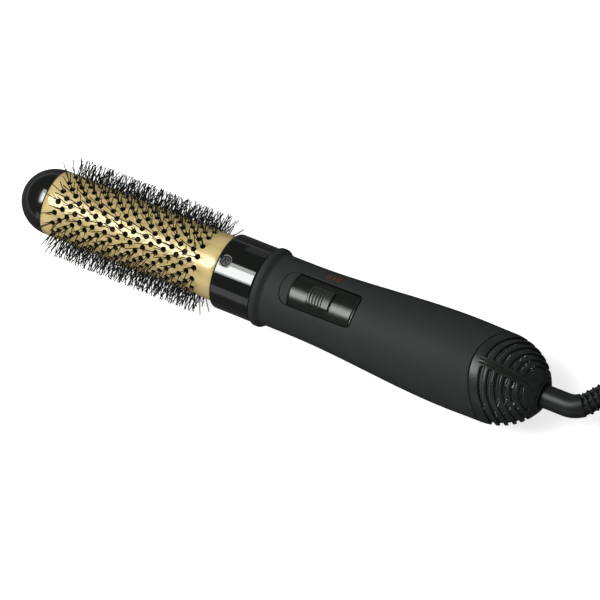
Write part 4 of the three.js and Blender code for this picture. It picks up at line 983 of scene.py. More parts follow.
def spoke(turn):
    """The direction out from the axis at a turn, and the one along the round beside it."""
    out = np.array([0, math.sin(turn), math.cos(turn)])
    return out, np.array([0, math.cos(turn), -math.sin(turn)])


def bore_rings(turn, rows):
    """Rings about an axis that stands out at a turn. A row is (radius, height, surface), and
    where the height is None the ring lies on that surface: sqrt(surface^2 - across^2)."""
    out, tangent = spoke(turn)
    rings = []
    for radius, height, surface in rows:
        across = radius * np.sin(patch_angle)
        high = np.sqrt(surface**2 - across**2) if height is None else height + 0 * across
        ring = out * high[:, None] + tangent * across[:, None]
        ring[:, 0] = SCREW_X + radius * np.cos(patch_angle)
        ring[:, 2] += AXIS_Z
        rings.append(ring)
    return np.array(rings)


seat_height = SCREW_TOP - HEAD_HEIGHT - CLEARANCE
head_hole, shank_hole = HEAD_RADIUS + 0.2 * MM, SHANK_RADIUS + CLEARANCE
counterbore = [
    (head_hole + 0.12 * MM, None, COLLAR_RADIUS),
    (head_hole + 0.03 * MM, None, COLLAR_RADIUS - 0.04 * MM),
    (head_hole, None, COLLAR_RADIUS - 0.14 * MM),
    (head_hole, seat_height, 0),
    (shank_hole, seat_height, 0),
    (shank_hole, None, COLLAR_BORE),
]
holes = []
for third in range(SCREWS):
    middle_column = third * COLLAR_COLUMNS // SCREWS
    rings = bore_rings(collar_turns[middle_column], counterbore)
    first_row, first_column = len(front_arc) - 1, middle_column - BORE_WIDE // 2
    holes.append((first_row, first_column, BORE_TALL, BORE_WIDE, rings))
outer = ring_points(collar_outer[:, :1], collar_outer[:, 1:], collar_turns[None])
inner = ring_points(collar_inner[:, :1], collar_inner[:, 1:], collar_turns[None])
points, faces = pierced_wall(outer, inner, holes)
collar = merge_and_face_out(add_piece("collar_ring", points, faces, gloss_finish))
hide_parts("collar")
print("collar", len(collar.data.polygons), "faces")

# %% [markdown]
# The screws have a domed head with a cross recess. The head's top is a square grid bent into a
# disc, u = x * sqrt(1 - y^2 / 2) and v = y * sqrt(1 - x^2 / 2), so the grid's straight middle
# lines follow the arms of the cross.

# %% Screws
HEAD_CELLS = 44
HEAD_DOME, HEAD_EDGE = 0.12 * MM, 0.3 * MM
CROSS_DEPTH = 0.75 * MM


def head_depth(u, v):
    """Depth of the cross: an arm is narrow across, and tapers in depth toward its end."""
    arms = 0
    for across, along in ((u, v), (v, u)):
        wall = 1 - smoothstep(np.abs(across), 0.36 * MM, 0.54 * MM)
        end = 1 - smoothstep(np.abs(along), 1.5 * MM, 2.1 * MM)
        arms = np.maximum(arms, wall * end)
    return CROSS_DEPTH * arms


def screw_shape():
    """The grid of the head's top, then rings down the head and the shank to its point."""
    side = np.linspace(-1, 1, HEAD_CELLS + 1)
    x, y = np.meshgrid(side, side, indexing="ij")
    flat = HEAD_RADIUS - HEAD_EDGE
    u, v = flat * x * np.sqrt(1 - y**2 / 2), flat * y * np.sqrt(1 - x**2 / 2)
    dome = HEAD_DOME * (1 - (u**2 + v**2) / flat**2)
    top = np.stack([u, v, SCREW_TOP - HEAD_DOME + dome - head_depth(u, v)], -1)
    down, right = border_steps(HEAD_CELLS, HEAD_CELLS)
    number = np.arange(top[..., 0].size).reshape(top.shape[:2])
    border = number[down, right]
    reach = top[down, right, :2] / flat
    rows = [(HEAD_RADIUS - 0.08 * MM, 0.2), (HEAD_RADIUS, 0.4), (HEAD_RADIUS, 1.1)]
    rows += [(SHANK_RADIUS, 1.1), (SHANK_RADIUS, 3.6), (SHANK_RADIUS / 2, 4.0), (0, 4.0)]
    rings = [np.column_stack([reach * r, np.full(len(reach), SCREW_TOP - d * MM)]) for r, d in rows]
    between = number.size + np.arange(len(rows) * len(border)).reshape(len(rows), -1)
    points = np.concatenate([top.reshape(-1, 3), *rings])
    cells = grid_faces(HEAD_CELLS + 1, HEAD_CELLS + 1)
    return points, np.concatenate([cells, chain_faces(np.vstack([border, between]))])


screw_points, screw_faces = screw_shape()
for number in range(1, SCREWS + 1):
    spin = number - 0.5
    u = screw_points[:, 0] * math.cos(spin) - screw_points[:, 1] * math.sin(spin)
    v = screw_points[:, 0] * math.sin(spin) + screw_points[:, 1] * math.cos(spin)
    out, tangent = spoke((number - 1) * TURN / SCREWS)
    points = out * screw_points[:, 2:] + tangent * v[:, None]
    points[:, 0] = SCREW_X + u
    points[:, 2] += AXIS_Z
    screw = add_piece(f"cross_screw_{number}", points, screw_faces, screw_finish)
    merge_and_face_out(screw)
    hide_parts(f"collar_screw_{number}")
print("screw", len(screw_faces), "faces")

# %% [markdown]
# ## The handle
#
# The grip swells from the neck to the thickest place and ends at the seam with the rear cap.
# Its flange at the front is a lip with a soft rear side. The window for the switch panel is a
# hole whose outline is a long field with a bowed front and four rounded corners. Toward the
# seam the handle's end sweeps forward on the top and bottom lines, so each point moves
# forward by share * sweep * cos(turn)^2.

# %% Handle outline
NECK_RADIUS, GRIP_RADIUS = 20.6 * MM, 25.8 * MM
FLANGE_RADIUS = 22.8 * MM
HANDLE_WALL = 2.4 * MM
PANEL_FRONT, PANEL_REAR = 14.7 * MM, 60.6 * MM
PANEL_HALF, PANEL_BULGE = 9.65 * MM, 2.6 * MM
FRONT_CORNER, REAR_CORNER = 3.4 * MM, 2.8 * MM
SWELL_START, SWELL_END = 20 * MM, 120 * MM
SWEEP_RUN = 40 * MM


def grip_radius(distance):
    """Neck + (grip - neck) * smoothstep, less what the radius loses behind the swelling."""
    swell = smoothstep(distance, SWELL_START, SWELL_END)
    rear = smoothstep(distance, SWELL_END, HANDLE_LENGTH)
    return NECK_RADIUS + (GRIP_RADIUS - NECK_RADIUS) * swell - (GRIP_RADIUS - CAP_RADIUS) * rear


def follow_seam(points):
    """Moves a point forward by share * sweep * cos(turn)^2, with a share that grows over the
    last run before the seam."""
    share = np.clip((points[..., 0] - SEAM_X + SWEEP_RUN) / SWEEP_RUN, 0, 1)
    y, z = points[..., 1], points[..., 2] - AXIS_Z
    forward = share * (SEAM_SWEEP + SEAM_REACH) * z**2 / (y**2 + z**2)
    return np.stack([points[..., 0] - forward, y, points[..., 2]], -1)


def field_ends(y, grown):
    """The field's front and rear stations at a side distance: a shallow bow at the front, and
    quarter circles on all the corners, corner - sqrt(corner^2 - beyond^2)."""
    half = PANEL_HALF + grown
    ends = []
    for corner in (FRONT_CORNER + grown, REAR_CORNER + grown):
        beyond = np.maximum(np.abs(y) - (half - corner), 0)
        ends.append(corner - np.sqrt(np.maximum(corner**2 - beyond**2, 0)))
    front = PANEL_FRONT - grown + PANEL_BULGE * (y / half) ** 2 + ends[0]
    return front, PANEL_REAR + grown - ends[1]


def field_outline(grown, tall, wide):
    """Once round the field, in the order of a patch's border: across the front, along one
    side, back across the rear and along the other side."""
    half = PANEL_HALF + grown
    y = half * np.sin(np.linspace(-np.pi / 2, np.pi / 2, wide + 1))
    front, rear = field_ends(y, grown)
    side = np.linspace(front[-1], rear[-1], tall + 1)
    x = np.concatenate([front[:-1], side[:-1], rear[:0:-1], side[:0:-1]])
    across = np.concatenate([y[:-1], half + 0 * side[:-1], y[:0:-1], -half + 0 * side[:-1]])
    return x, across


def on_grip(distance, across, lift):
    """The point of the grip's surface above a side distance, lifted along the radius:
    turn = arcsin(across / radius)."""
    radius = grip_radius(distance) + lift
    return ring_points(FLANGE_START + distance, radius, np.arcsin(across / radius))


# %% Handle shell
PATCH_TALL, PATCH_WIDE = 54, 48
FLANGE_ROUND = 0.9 * MM
SHELL_STEP = 1.5
SHELL_COLUMNS = 240
front_edge = arc(FLANGE_ROUND, FLANGE_RADIUS - FLANGE_ROUND, FLANGE_ROUND, 180, 90, 7)
lip_x = np.linspace(1.9, 6.6, 40) * MM
lip_r = NECK_RADIUS + (FLANGE_RADIUS - NECK_RADIUS) * (1 - smoothstep(lip_x, 2.6 * MM, 6.4 * MM))
lip_r -= 0.16 * MM * np.exp(-(((lip_x - 2.5 * MM) / (0.22 * MM)) ** 2))
before_window = np.linspace(7.5, 12, 4) * MM
window_x = np.linspace(12, 64, PATCH_TALL + 1)[1:] * MM
neck_x = np.concatenate([before_window, window_x, np.linspace(66, 141.2, 46) * MM])
shell_outer = np.vstack([
    front_edge,
    np.stack([lip_x, lip_r], -1),
    np.stack([neck_x, grip_radius(neck_x)], -1),
    [[141.55 * MM, CAP_RADIUS - 0.08 * MM], [141.7 * MM, CAP_RADIUS - 0.4 * MM]],
])
shell_inner = np.stack([shell_outer[:, 0], grip_radius(shell_outer[:, 0]) - HANDLE_WALL], -1)
first_turn = -SHELL_STEP * PATCH_WIDE / 2
shell_turns = np.radians(first_turn + SHELL_STEP * np.arange(SHELL_COLUMNS))
patch_row = len(front_edge) + len(lip_x) + len(before_window) - 1
grids = []
for profile in (shell_outer, shell_inner):
    x = FLANGE_START + profile[:, :1]
    grids.append(follow_seam(ring_points(x, profile[:, 1:], shell_turns[None])))
window = []
WINDOW_ROWS = [(0.62, 0), (0.38, -0.07), (0.3, -0.32), (0.3, -2.4)]
for grown, lift in WINDOW_ROWS:
    x, across = field_outline(grown * MM, PATCH_TALL, PATCH_WIDE)
    window.append(on_grip(x, across, lift * MM))
hole = (patch_row, 0, PATCH_TALL, PATCH_WIDE, np.array(window))
points, faces = pierced_wall(*grids, [hole])
handle = merge_and_face_out(add_piece("handle_grip", points, faces, soft_touch))
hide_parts("handle_shell")
print("handle", len(handle.data.polygons), "faces")

# %% [markdown]
# ## The switch panel
#
# The panel fills the window. Its front is a low tab with the grip's soft finish. Behind the
# tab the skin lies a little lower and is smooth, with a low round boss under the slider, and
# it curls up to its rear edge. Across the handle it is rounder than the grip, so a lamp shows
# in it as a band along its middle. The height is one formula of station and side distance,
# and the slot for the slider's stem is a hole in the grid.

# %% Panel surface
SLIDER_X = 38.7 * MM
PANEL_PROUD, PANEL_WALL, THINNEST = 0.3 * MM, 2.7 * MM, 0.4 * MM
SUNK, CROWN, PANEL_ROUND = 0.35 * MM, 1.4 * MM, 0.35 * MM
BOSS_HEIGHT, BOSS_RADIUS, BOSS_SLOPE = 0.4 * MM, 8.9 * MM, 3.2 * MM
TAB_END, TAB_BOW, TAB_SLOPE = 19.4 * MM, 1.6 * MM, 1.7 * MM
PANEL_ROWS, PANEL_COLUMNS = 120, 64
STEM_SLOT = (6.8 * MM, 1.8 * MM)
FAR_INSIDE = 1.0


def tab_end(y):
    """The station where the tab ends, bowed as the panel's front is."""
    return TAB_END + TAB_BOW * (y / PANEL_HALF) ** 2


def edge_drop(edge, radius, drop):
    """What a rounded edge takes off at a distance from it: drop * (1 - sqrt(1 - rim^2)), with
    rim falling from 1 at the edge to 0 at the radius."""
    rim = np.clip(1 - edge / radius, 0, 1)
    return drop * (1 - np.sqrt(1 - rim**2))


def panel_skin(distance, y):
    """The grip's own height, a little proud: sqrt((grip radius + proud)^2 - y^2)."""
    return np.sqrt((grip_radius(distance) + PANEL_PROUD) ** 2 - y**2)


def panel_height(distance, y, edge=FAR_INSIDE):
    """Height above the axis: the skin's, less what the smooth part is sunk, sunk + crown *
    (y / half)^2, plus the boss, less the rounding of the outer edge."""
    tab_line = tab_end(y)
    inside = smoothstep(distance, tab_line, tab_line + TAB_SLOPE)
    inside = inside * (1 - smoothstep(distance, PANEL_REAR - 2.0 * MM, PANEL_REAR - 0.5 * MM))
    reach = np.hypot(distance - SLIDER_X, y)
    boss = BOSS_HEIGHT * (1 - smoothstep(reach, BOSS_RADIUS - BOSS_SLOPE, BOSS_RADIUS))
    sunk = SUNK + CROWN * (y / PANEL_HALF) ** 2
    skin = panel_skin(distance, y)
    return skin - sunk * inside + boss - edge_drop(edge, PANEL_ROUND, PANEL_ROUND)


to_frame = [FLANGE_START, 0, AXIS_Z]


def lifted(x, y, height):
    """A grid's points in the frame, from a station behind the flange's front."""
    return np.stack([x, y + 0 * x, height], -1) + to_frame


print("panel", round(1000 * float(panel_height(SLIDER_X, 0.0)), 2), "mm above the axis")

# %% Panel
along = (1 - np.cos(np.linspace(0, np.pi, PANEL_ROWS + 1)))[:, None] / 2
across = PANEL_HALF * np.sin(np.linspace(-np.pi / 2, np.pi / 2, PANEL_COLUMNS + 1))[None, :]
field_front, field_rear = field_ends(across, 0)
panel_x = field_front + (field_rear - field_front) * along
panel_y = across + 0 * panel_x
edge = np.minimum(panel_x - field_front, field_rear - panel_x)
edge = np.minimum(edge, PANEL_HALF - np.abs(panel_y))
panel_top = panel_height(panel_x, panel_y, edge)
panel_under = np.minimum(panel_skin(panel_x, panel_y) - PANEL_WALL, panel_top - THINNEST)
middle = PANEL_COLUMNS // 2
slot_rows = np.flatnonzero(np.abs(panel_x[:, middle] - SLIDER_X) < 8 * MM)
slot_columns = np.flatnonzero(np.abs(across[0]) < 3 * MM)
slot_tall, slot_wide = len(slot_rows) - 1, len(slot_columns) - 1
slot_down, slot_right = border_steps(slot_tall, slot_wide)
slot_x = SLIDER_X + STEM_SLOT[0] * (2 * slot_down / slot_tall - 1)
slot_y = STEM_SLOT[1] * (2 * slot_right / slot_wide - 1)
slot_top = panel_height(slot_x, slot_y)
stem_rings = [lifted(slot_x, slot_y, slot_top), lifted(slot_x, slot_y, slot_top - THINNEST)]
hole = (slot_rows[0], slot_columns[0], slot_tall, slot_wide, np.array(stem_rings))
outer, inner = lifted(panel_x, panel_y, panel_top), lifted(panel_x, panel_y, panel_under)
points, faces = pierced_wall(outer, inner, [hole], round_it=False)
panel = merge_and_face_out(add_piece("thumb_panel", points, faces, panel_finish))
panel.data.materials.append(soft_touch)
for face in panel.data.polygons:
    face.material_index = int(face.center.x < FLANGE_START + tab_end(face.center.y) + 0.8 * MM)
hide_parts("switch_panel")
print("panel", len(panel.data.polygons), "faces")

# %% [markdown]
# ## The slider
#
# Seen from above the slider has a bowed front, and its ribs follow the same bow. Along the
# slider the height is a row of rib waves over the front two thirds and a smooth slope behind.
# Its underside is the highest that the panel is under it anywhere on its travel, plus a small
# clearance, so it passes over the boss without touching it. A stem goes down through the slot.

# %% Slider
SLIDER_LONG, SLIDER_HALF = 14 * MM, 5.5 * MM
SLIDER_BOW, SLIDER_PROUD, SLIDER_CROWN = 2.2 * MM, 1.8 * MM, 0.95 * MM
SLIDER_TILT, SLIDER_SLOPE = 0.015, 0.3 * MM
SLIDER_ROUND, SLIDER_DROP = 0.7 * MM, 0.45 * MM
SLIDER_GAP, SLIDER_THINNEST = 0.12 * MM, 0.25 * MM
RIBS, RIB_PITCH, RIB_HEIGHT, RIB_SIDE = 5, 1.87 * MM, 0.5 * MM, 0.24
TRAVEL = 4
STEM_END, STEM_HALF = 13.55 * MM, [2.5 * MM, 1.5 * MM]
s = SLIDER_LONG * (1 - np.cos(np.linspace(0, np.pi, 121)))[:, None] / 2
y = SLIDER_HALF * np.sin(np.linspace(-np.pi / 2, np.pi / 2, 49))[None, :]
bow = SLIDER_BOW * (1 - np.sqrt(1 - (0.98 * y / SLIDER_HALF) ** 2)) * (1 - s / SLIDER_LONG)
slider_x = SLIDER_X - SLIDER_LONG / 2 + s + bow
phase = np.mod(s / RIB_PITCH, 1)
wave = smoothstep(np.minimum(phase / RIB_SIDE, (1 - phase) / RIB_SIDE), 0, 1)
ribs = (s < RIBS * RIB_PITCH) * (1 - wave) * RIB_HEIGHT
ribs = ribs * smoothstep(SLIDER_HALF - np.abs(y), 0, 0.9 * MM)
slope = SLIDER_SLOPE * smoothstep(s, RIBS * RIB_PITCH, SLIDER_LONG)
crown = grip_radius(SLIDER_X) + SLIDER_PROUD + SLIDER_TILT * (s - SLIDER_LONG / 2)
crown = crown - SLIDER_CROWN * (y / SLIDER_HALF) ** 2
edge = np.minimum(np.minimum(s, SLIDER_LONG - s), SLIDER_HALF - np.abs(y))
slider_top = crown - ribs - slope - edge_drop(edge, SLIDER_ROUND, SLIDER_DROP)
ways = np.linspace(-TRAVEL, TRAVEL, 9)[:, None, None] * MM
slider_under = panel_height(slider_x + ways, y).max(0) + SLIDER_GAP
slider_under = np.minimum(slider_under, slider_top - SLIDER_THINNEST)
outer, inner = lifted(slider_x, y, slider_top), lifted(slider_x, y, slider_under)
points, faces = pierced_wall(outer, inner, [], round_it=False)
stem_top = float(slider_under.min()) + CLEARANCE
corner = np.array([[-1, -1], [1, -1], [1, 1], [-1, 1]]) * STEM_HALF
stem = [np.column_stack([corner, np.full(4, z)]) for z in (STEM_END, stem_top)]
stem = np.concatenate(stem) + [SLIDER_X, 0, 0] + to_frame
stem_faces = [[0, 1, 2, 3], [4, 5, 6, 7], [0, 1, 5, 4], [1, 2, 6, 5], [2, 3, 7, 6], [3, 0, 4, 7]]
faces = np.concatenate([faces, np.array(stem_faces) + len(points)])
points = np.concatenate([points, stem])
slider = merge_and_face_out(add_piece("ribbed_slider", points, faces, slider_finish, "slider"))
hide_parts("switch_slider")
print("slider", len(slider.data.polygons), "faces")

# %% [markdown]
# ## The marks beside the switch
#
# Three small figures are printed on the grip, with their tops away from the panel. They are
# drawn as flat text, made a mesh, cut into strips so that it can bend, and wrapped: the text's
# x runs along the handle, and its y becomes a turn about the axis, turn = middle + y / radius.

# %% Switch marks
FIGURE_SIZE, FIGURE_LONGER, FIGURE_TALLER = 4.0 * MM, 1.3, 1.45
MARKS_X, MARKS_TURN, MARKS_LIFT = 39.0 * MM, math.radians(42.5), 0.06 * MM
STRIP = 0.4
text_curve = bpy.data.curves.new("switch_marks_text", "FONT")
text_curve.body = "2 1 0"
text_curve.size = FIGURE_SIZE
text_curve.space_character = 0.8
text_curve.offset = 0.1 * MM
text_curve.align_x, text_curve.align_y = "CENTER", "CENTER"
text_curve.resolution_u = 3
text_curve.extrude = 0.03 * MM
text_source = bpy.data.objects.new("switch_marks_text", text_curve)
text_mesh = bpy.data.meshes.new_from_object(text_source)
bpy.data.objects.remove(text_source)
bpy.data.curves.remove(text_curve)
strips = bmesh.new()
strips.from_mesh(text_mesh)
for cut in np.arange(-6, 7) * STRIP * MM:
    parts = [*strips.verts, *strips.edges, *strips.faces]
    bmesh.ops.bisect_plane(strips, geom=parts, plane_co=(0, cut, 0), plane_no=(0, 1, 0))
strips.to_mesh(text_mesh)
strips.free()
letter = np.array([v.co[:] for v in text_mesh.vertices])
letter_x = MARKS_X + letter[:, 0] * FIGURE_LONGER
letter_radius = grip_radius(letter_x) + MARKS_LIFT + letter[:, 2]
letter_turn = MARKS_TURN + FIGURE_TALLER * letter[:, 1] / letter_radius
wrapped = ring_points(FLANGE_START + letter_x, letter_radius, letter_turn)
for vertex, place in zip(text_mesh.vertices, wrapped):
    vertex.co = place
text_mesh.materials.append(red_mark)
marks = bpy.data.objects.new("switch_marks", text_mesh)
bpy.context.scene.collection.objects.link(marks)
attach(marks, "handle")
print("marks", len(text_mesh.polygons), "faces")

# %% [markdown]
# ## The rear cap
#
# The cap is a dome with five long curved slots and a short one on each side. A point of the
# dome is given by its share of the way from the seam to the hole and by its turn: angle =
# share * end angle, radius = R * cos(angle), station = seam + length * sin(angle), moved forward
# by sweep * (1 - share^2) * cos(turn)^2. Each slot is a hole in the wall, with half round ends
# and a rounded edge. On the top line a thin raised spine runs between two grooves that meet
# near the cord, and on the bottom line there are only the grooves.

# %% Cap wall
SLOTS, SLOT_WIDE, SLOT_TALL = 6, 0.086, 6
SLOT_ARC = 27.5 * MM
SHORT_SLOT_END = 64
CAP_WALL = 1.2 * MM


def dome_angle(share, inset):
    """share * arccos(hole / (cap radius - inset)): each skin ends at the hole's radius."""
    return share * np.arccos(HOLE_END / (CAP_RADIUS - inset))


def dome_points(share, turn, inset):
    """The dome's point at a share and a turn, an inset below its outer skin. Near the seam it
    also reaches forward with the seam, by reach * (1 - share / 0.2)^2 * cos(turn)^2."""
    share, turn, inset = np.broadcast_arrays(share, turn, inset)
    angle = dome_angle(share, inset)
    radius = (CAP_RADIUS - inset) * np.cos(angle)
    along = (CAP_DOME - inset) * np.sin(angle)
    reach = SEAM_REACH * np.clip(1 - share / 0.2, 0, 1) ** 2
    forward = (SEAM_SWEEP * (1 - share**2) + reach) * np.cos(turn) ** 2
    return ring_points(SEAM_X + along - forward, radius, turn)


def slot_angle(number, turn):
    """The dome's angle at slot number (whole numbers are the webs between the slots): the
    slots stand nearly square to the axis on top, and turn rearward with sin(turn)^4, the
    rear ones more. The last web stops short of the hole."""
    rearward = (0.091 + 0.032 * number) * np.sin(turn) ** 4
    return np.minimum(0.11 + 0.137 * number + rearward, 1.09 + 0.03 * (number - 5))


def spine_inset(share, turn):
    """How far the skin lies below the dome: two grooves beside a raised line, all of which
    narrow to a point. The lower spine isn't raised, as the table is close."""
    away = np.abs(np.mod(turn + np.pi / 2, np.pi) - np.pi / 2)
    side = away * CAP_RADIUS * np.cos(dome_angle(share, 0))
    spread = 1.2 * MM * np.clip(1 - share / 0.9, 0, 1) ** 0.75
    fade = smoothstep(share, 0.075, 0.12) * (1 - smoothstep(share, 0.84, 0.9))
    groove = 0.8 * MM * np.exp(-(((side - spread) / (0.34 * MM)) ** 2))
    ridge = 0.25 * MM * np.exp(-((side / (0.6 * spread + 0.1 * MM)) ** 2)) * (np.cos(turn) > 0)
    return (groove - ridge) * fade


near_line = np.arange(0, 4.7, 0.4)
half_turn = np.concatenate([near_line, np.linspace(4.8, 175.2, 116), 180 - near_line[:0:-1]])
cap_turns = np.radians(np.concatenate([half_turn, 180 + half_turn]))
FIRST_COLUMN, HALF_COLUMNS, SLOT_COLUMNS, SHORT_COLUMNS = len(near_line), len(half_turn), 115, 40
cap_steps = np.linspace(0, SLOTS, SLOTS * SLOT_TALL + 1)[:, None]
slot_lines = slot_angle(cap_steps, cap_turns[None]) / CAP_END_ANGLE
front_share = np.array([0, 0.0026, 0.012, 0.026])[:, None] + 0 * cap_turns
middle_share = slot_lines[:1] * np.array([0.4, 0.6, 0.8])[:, None]
rear_gap = 1 - slot_lines[-1:]
rear_share = 1 - rear_gap * np.array([0.75, 0.5, 0.25, 0.12, 0.04, 0])[:, None]
cap_share = np.vstack([front_share, middle_share, slot_lines, rear_share])
cap_edge = np.zeros((len(cap_share), 1))
cap_edge[:3, 0] = [0.4 * MM, 0.12 * MM, 0]
cap_edge[-3:, 0] = [0, 0.08 * MM, 0.35 * MM]
FIRST_SLOT_ROW = len(front_share) + len(middle_share)
cap_inset = cap_edge + spine_inset(cap_share, cap_turns[None])
cap_outer = dome_points(cap_share, cap_turns[None], cap_inset)
cap_inner = dome_points(cap_share, cap_turns[None], CAP_WALL)
print("cap grid", cap_outer.shape[:2])

# %% Cap slots


def slot_rings(number, first_turn, last_turn, wide):
    """Rings of one slot, with half round ends, from its rounded edge to the inner skin."""
    rings = []
    for grown, inset in ((0.26, 0.0), (0.08, 0.08), (0, 0.28), (0, CAP_WALL / MM)):
        half = SLOT_WIDE / 2 + grown * MM / SLOT_ARC
        local = CAP_RADIUS * math.cos(slot_angle(number + 0.5, first_turn))
        reach = half * SLOT_ARC / local
        start, end = first_turn + reach - grown * MM / local, last_turn - reach + grown * MM / local
        line = np.linspace(start, end, wide + 1)
        bend = np.linspace(0, np.pi, SLOT_TALL + 1)[:-1]
        turn = [line[:-1], end + reach * np.sin(bend), line[:0:-1], start - reach * np.sin(bend)]
        side = [-1 + 0 * line[:-1], -np.cos(bend), 1 + 0 * line[:-1], np.cos(bend)]
        turn, side = np.concatenate(turn), np.concatenate(side)
        share = (slot_angle(number + 0.5, turn) + side * half) / CAP_END_ANGLE
        rings.append(dome_points(share, turn, inset * MM))
    return np.array(rings)


cap_holes = []
for side in range(2):
    for number in range(SLOTS):
        row = FIRST_SLOT_ROW + number * SLOT_TALL
        start = 2.4 * MM / (CAP_RADIUS * math.cos(slot_angle(number + 0.5, 0.1)))
        first, wide = side * HALF_COLUMNS + FIRST_COLUMN, SLOT_COLUMNS
        low, high = side * math.pi + start, (side + 1) * math.pi - start
        if number == SLOTS - 1:
            wide = SHORT_COLUMNS
            first += side * (SLOT_COLUMNS - SHORT_COLUMNS)
            if side:
                low = math.radians(360 - SHORT_SLOT_END)
            else:
                high = math.radians(SHORT_SLOT_END)
        cap_holes.append((row, first, SLOT_TALL, wide, slot_rings(number, low, high, wide)))
points, faces = pierced_wall(cap_outer, cap_inner, cap_holes)
cap = merge_and_face_out(add_piece("slotted_cap", points, faces, satin_black))
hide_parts("inlet_cap")
print("cap", len(cap_holes), "slots,", len(cap.data.polygons), "faces")

# %% [markdown]
# ## The screen
#
# Behind the slots lies a net with square meshes. One sheet of cells follows the dome, each
# cell with a square opening in its middle: corner of the opening = middle + open * (corner of
# the cell - middle). A Solidify modifier gives the net its thickness.

# %% Screen net
NET_ROWS, NET_COLUMNS = 27, 128
NET_INSET, NET_OPEN = 1.4 * MM, 0.64


def with_opening(corners):
    """Four corners of a cell and the four corners of its opening."""
    middle = corners.mean(1, keepdims=True)
    return np.stack([corners, (1 - NET_OPEN) * middle + NET_OPEN * corners], 1)


net_share = np.linspace(0.01, 0.99, NET_ROWS + 1)
net_turn = np.linspace(0, TURN, NET_COLUMNS + 1)
i, j = np.meshgrid(np.arange(NET_ROWS), np.arange(NET_COLUMNS), indexing="ij")
step = np.array([[0, 0], [1, 0], [1, 1], [0, 1]])
row = (i[..., None] + step[:, 0]).reshape(-1, 4)
column = (j[..., None] + step[:, 1]).reshape(-1, 4)
corner_share, corner_turn = with_opening(net_share[row]), with_opening(net_turn[column])
points = dome_points(corner_share, corner_turn, NET_INSET).reshape(-1, 3)
cell = 8 * np.arange(NET_ROWS * NET_COLUMNS)[:, None, None]
k = np.arange(4)
cell_faces = np.stack([k, (k + 1) % 4, (k + 1) % 4 + 4, k + 4], -1)
net = add_piece("inlet_net", points, (cell + cell_faces).reshape(-1, 4), screen_finish)
merge_and_face_out(net)
net_wall = net.modifiers.new("net_thickness", "SOLIDIFY")
net_wall.thickness = 0.35 * MM
net_wall.offset = -1
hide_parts("inlet_screen")
print("net", len(net.data.polygons), "faces")

# %% [markdown]
# ## The cord's way out
#
# The ring in the cap's rear hole is turned, with a shallow dish in its face. The boot turns in
# it. The boot is a smooth tube round its elbow, and then a flexible end: rings on a thin core,
# joined by four bars, so the light shows windows between them. All of the boot is one tube
# whose radius is a formula of the length and the direction round it.

# %% Swivel ring
RING_DEPTH = 7 * MM
ring_face = REAR_X + 0.6 * MM
ring_profile = [
    [ring_face - RING_DEPTH, 6.7 * MM], [ring_face - RING_DEPTH, DISK_RADIUS],
    [ring_face - 0.5 * MM, DISK_RADIUS], [ring_face, DISK_RADIUS - 0.7 * MM],
    [ring_face, DISK_RADIUS - 1.5 * MM], [ring_face - 0.8 * MM, 7.6 * MM],
    [ring_face - 1.4 * MM, 6.7 * MM],
]
ring_round = np.array([0.2, 0.2, 0.3, 0.4, 0.4, 0.4, 0.3]) * MM
swivel = turned("swivel_disk", rounded_corners(ring_profile, ring_round), satin_black)
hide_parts("swivel_ring")
print("swivel ring", len(swivel.data.polygons), "faces")

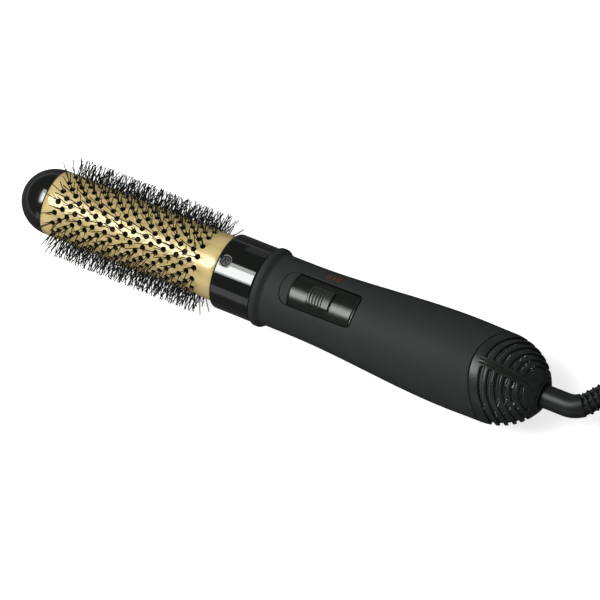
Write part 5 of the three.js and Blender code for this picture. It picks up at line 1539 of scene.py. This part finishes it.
# %% Boot line
BOOT_RADIUS, BOOT_CORE = 6.4 * MM, 3.5 * MM
BOOT_SIDES, BEND_STEPS, RIB_STEPS = 96, 86, 128
BOOT_RIB, RIBS_BEFORE = 3.23 * MM, 3.4 * MM
BAR_HEIGHT, BOOT_TAPER = 0.82, 0.1
socket_end = ring_face - RING_DEPTH - CLEARANCE
straight_x = np.concatenate([
    socket_end + np.array([-2.02, -2.0, -1.9, -0.25, -0.15, 0]) * MM,
    np.linspace(ring_face - 5 * MM, REAR_X + BOOT_STRAIGHT, 12),
])
straight_r = np.full(len(straight_x), BOOT_RADIUS)
straight_r[:6] = np.array([3.3, 8.1, 8.2, 8.2, 8.1, 6.4]) * MM
bend = np.arange(1, BEND_STEPS + 1) * BOOT_BEND / BEND_STEPS
bend_line = np.stack([
    REAR_X + BOOT_STRAIGHT + BOOT_BEND_RADIUS * np.sin(bend),
    BOOT_BEND_RADIUS * (1 - np.cos(bend)),
    AXIS_Z + 0 * bend,
], -1)
straight_run = np.arange(1, RIB_STEPS + 1) * 0.15 * MM
rib_line = elbow + boot_heading * straight_run[:, None]
straight_line = np.column_stack([straight_x, 0 * straight_x, AXIS_Z + 0 * straight_x])
boot_line = np.vstack([straight_line, bend_line, rib_line])
print("boot line", len(boot_line), "stations")

# %% Boot
around = full_circle(BOOT_SIDES)
run = np.concatenate([(bend - BOOT_BEND) * BOOT_BEND_RADIUS, straight_run])[:, None]
ring_place = np.mod(run + RIBS_BEFORE, BOOT_RIB)
ring_wall = smoothstep(ring_place, 1.75 * MM, 1.95 * MM)
ring_wall = ring_wall * (1 - smoothstep(ring_place, 3.03 * MM, BOOT_RIB))
quarter = np.abs(np.mod(around, np.pi / 2) - np.pi / 4)
bar_wall = (1 - smoothstep(quarter, math.radians(12), math.radians(17)))[None, :]
wall = np.maximum(np.maximum(ring_wall, BAR_HEIGHT * bar_wall), run < -RIBS_BEFORE)
taper = 1 - BOOT_TAPER * np.clip(run, 0, None) / BOOT_RIB_RUN
ribbed_radius = BOOT_CORE + (BOOT_RADIUS * taper - BOOT_CORE) * wall
boot_radius = np.vstack([straight_r[:, None] + 0 * around[None], ribbed_radius])
boot = tube_along("ribbed_boot", boot_line, boot_radius, around, boot_finish, "boot")
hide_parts("swivel_boot")
print("boot", len(boot.data.polygons), "faces")

# %% [markdown]
# ## Works seen through the gaps
#
# The motor, the fan and the heater keep the shapes of the frame, as little of them is ever
# seen. They get the finishes of their own materials.

# %% Finishes of the inner parts
inner_finishes = {
    "barrel_seat": inner_black,
    "heater_tube": mica_finish,
    "heater_frame": mica_finish,
    "switch_module": inner_black,
    "motor_can": motor_finish,
    "motor_mount": inner_black,
    "fan_rotor": fan_finish,
    "swivel_socket": inner_black,
    "plug_blade_1": blade_finish,
    "plug_blade_2": blade_finish,
}
for node_name, finish in inner_finishes.items():
    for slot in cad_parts[node_name].material_slots:
        slot.material = finish
print(len(inner_finishes), "inner parts finished")
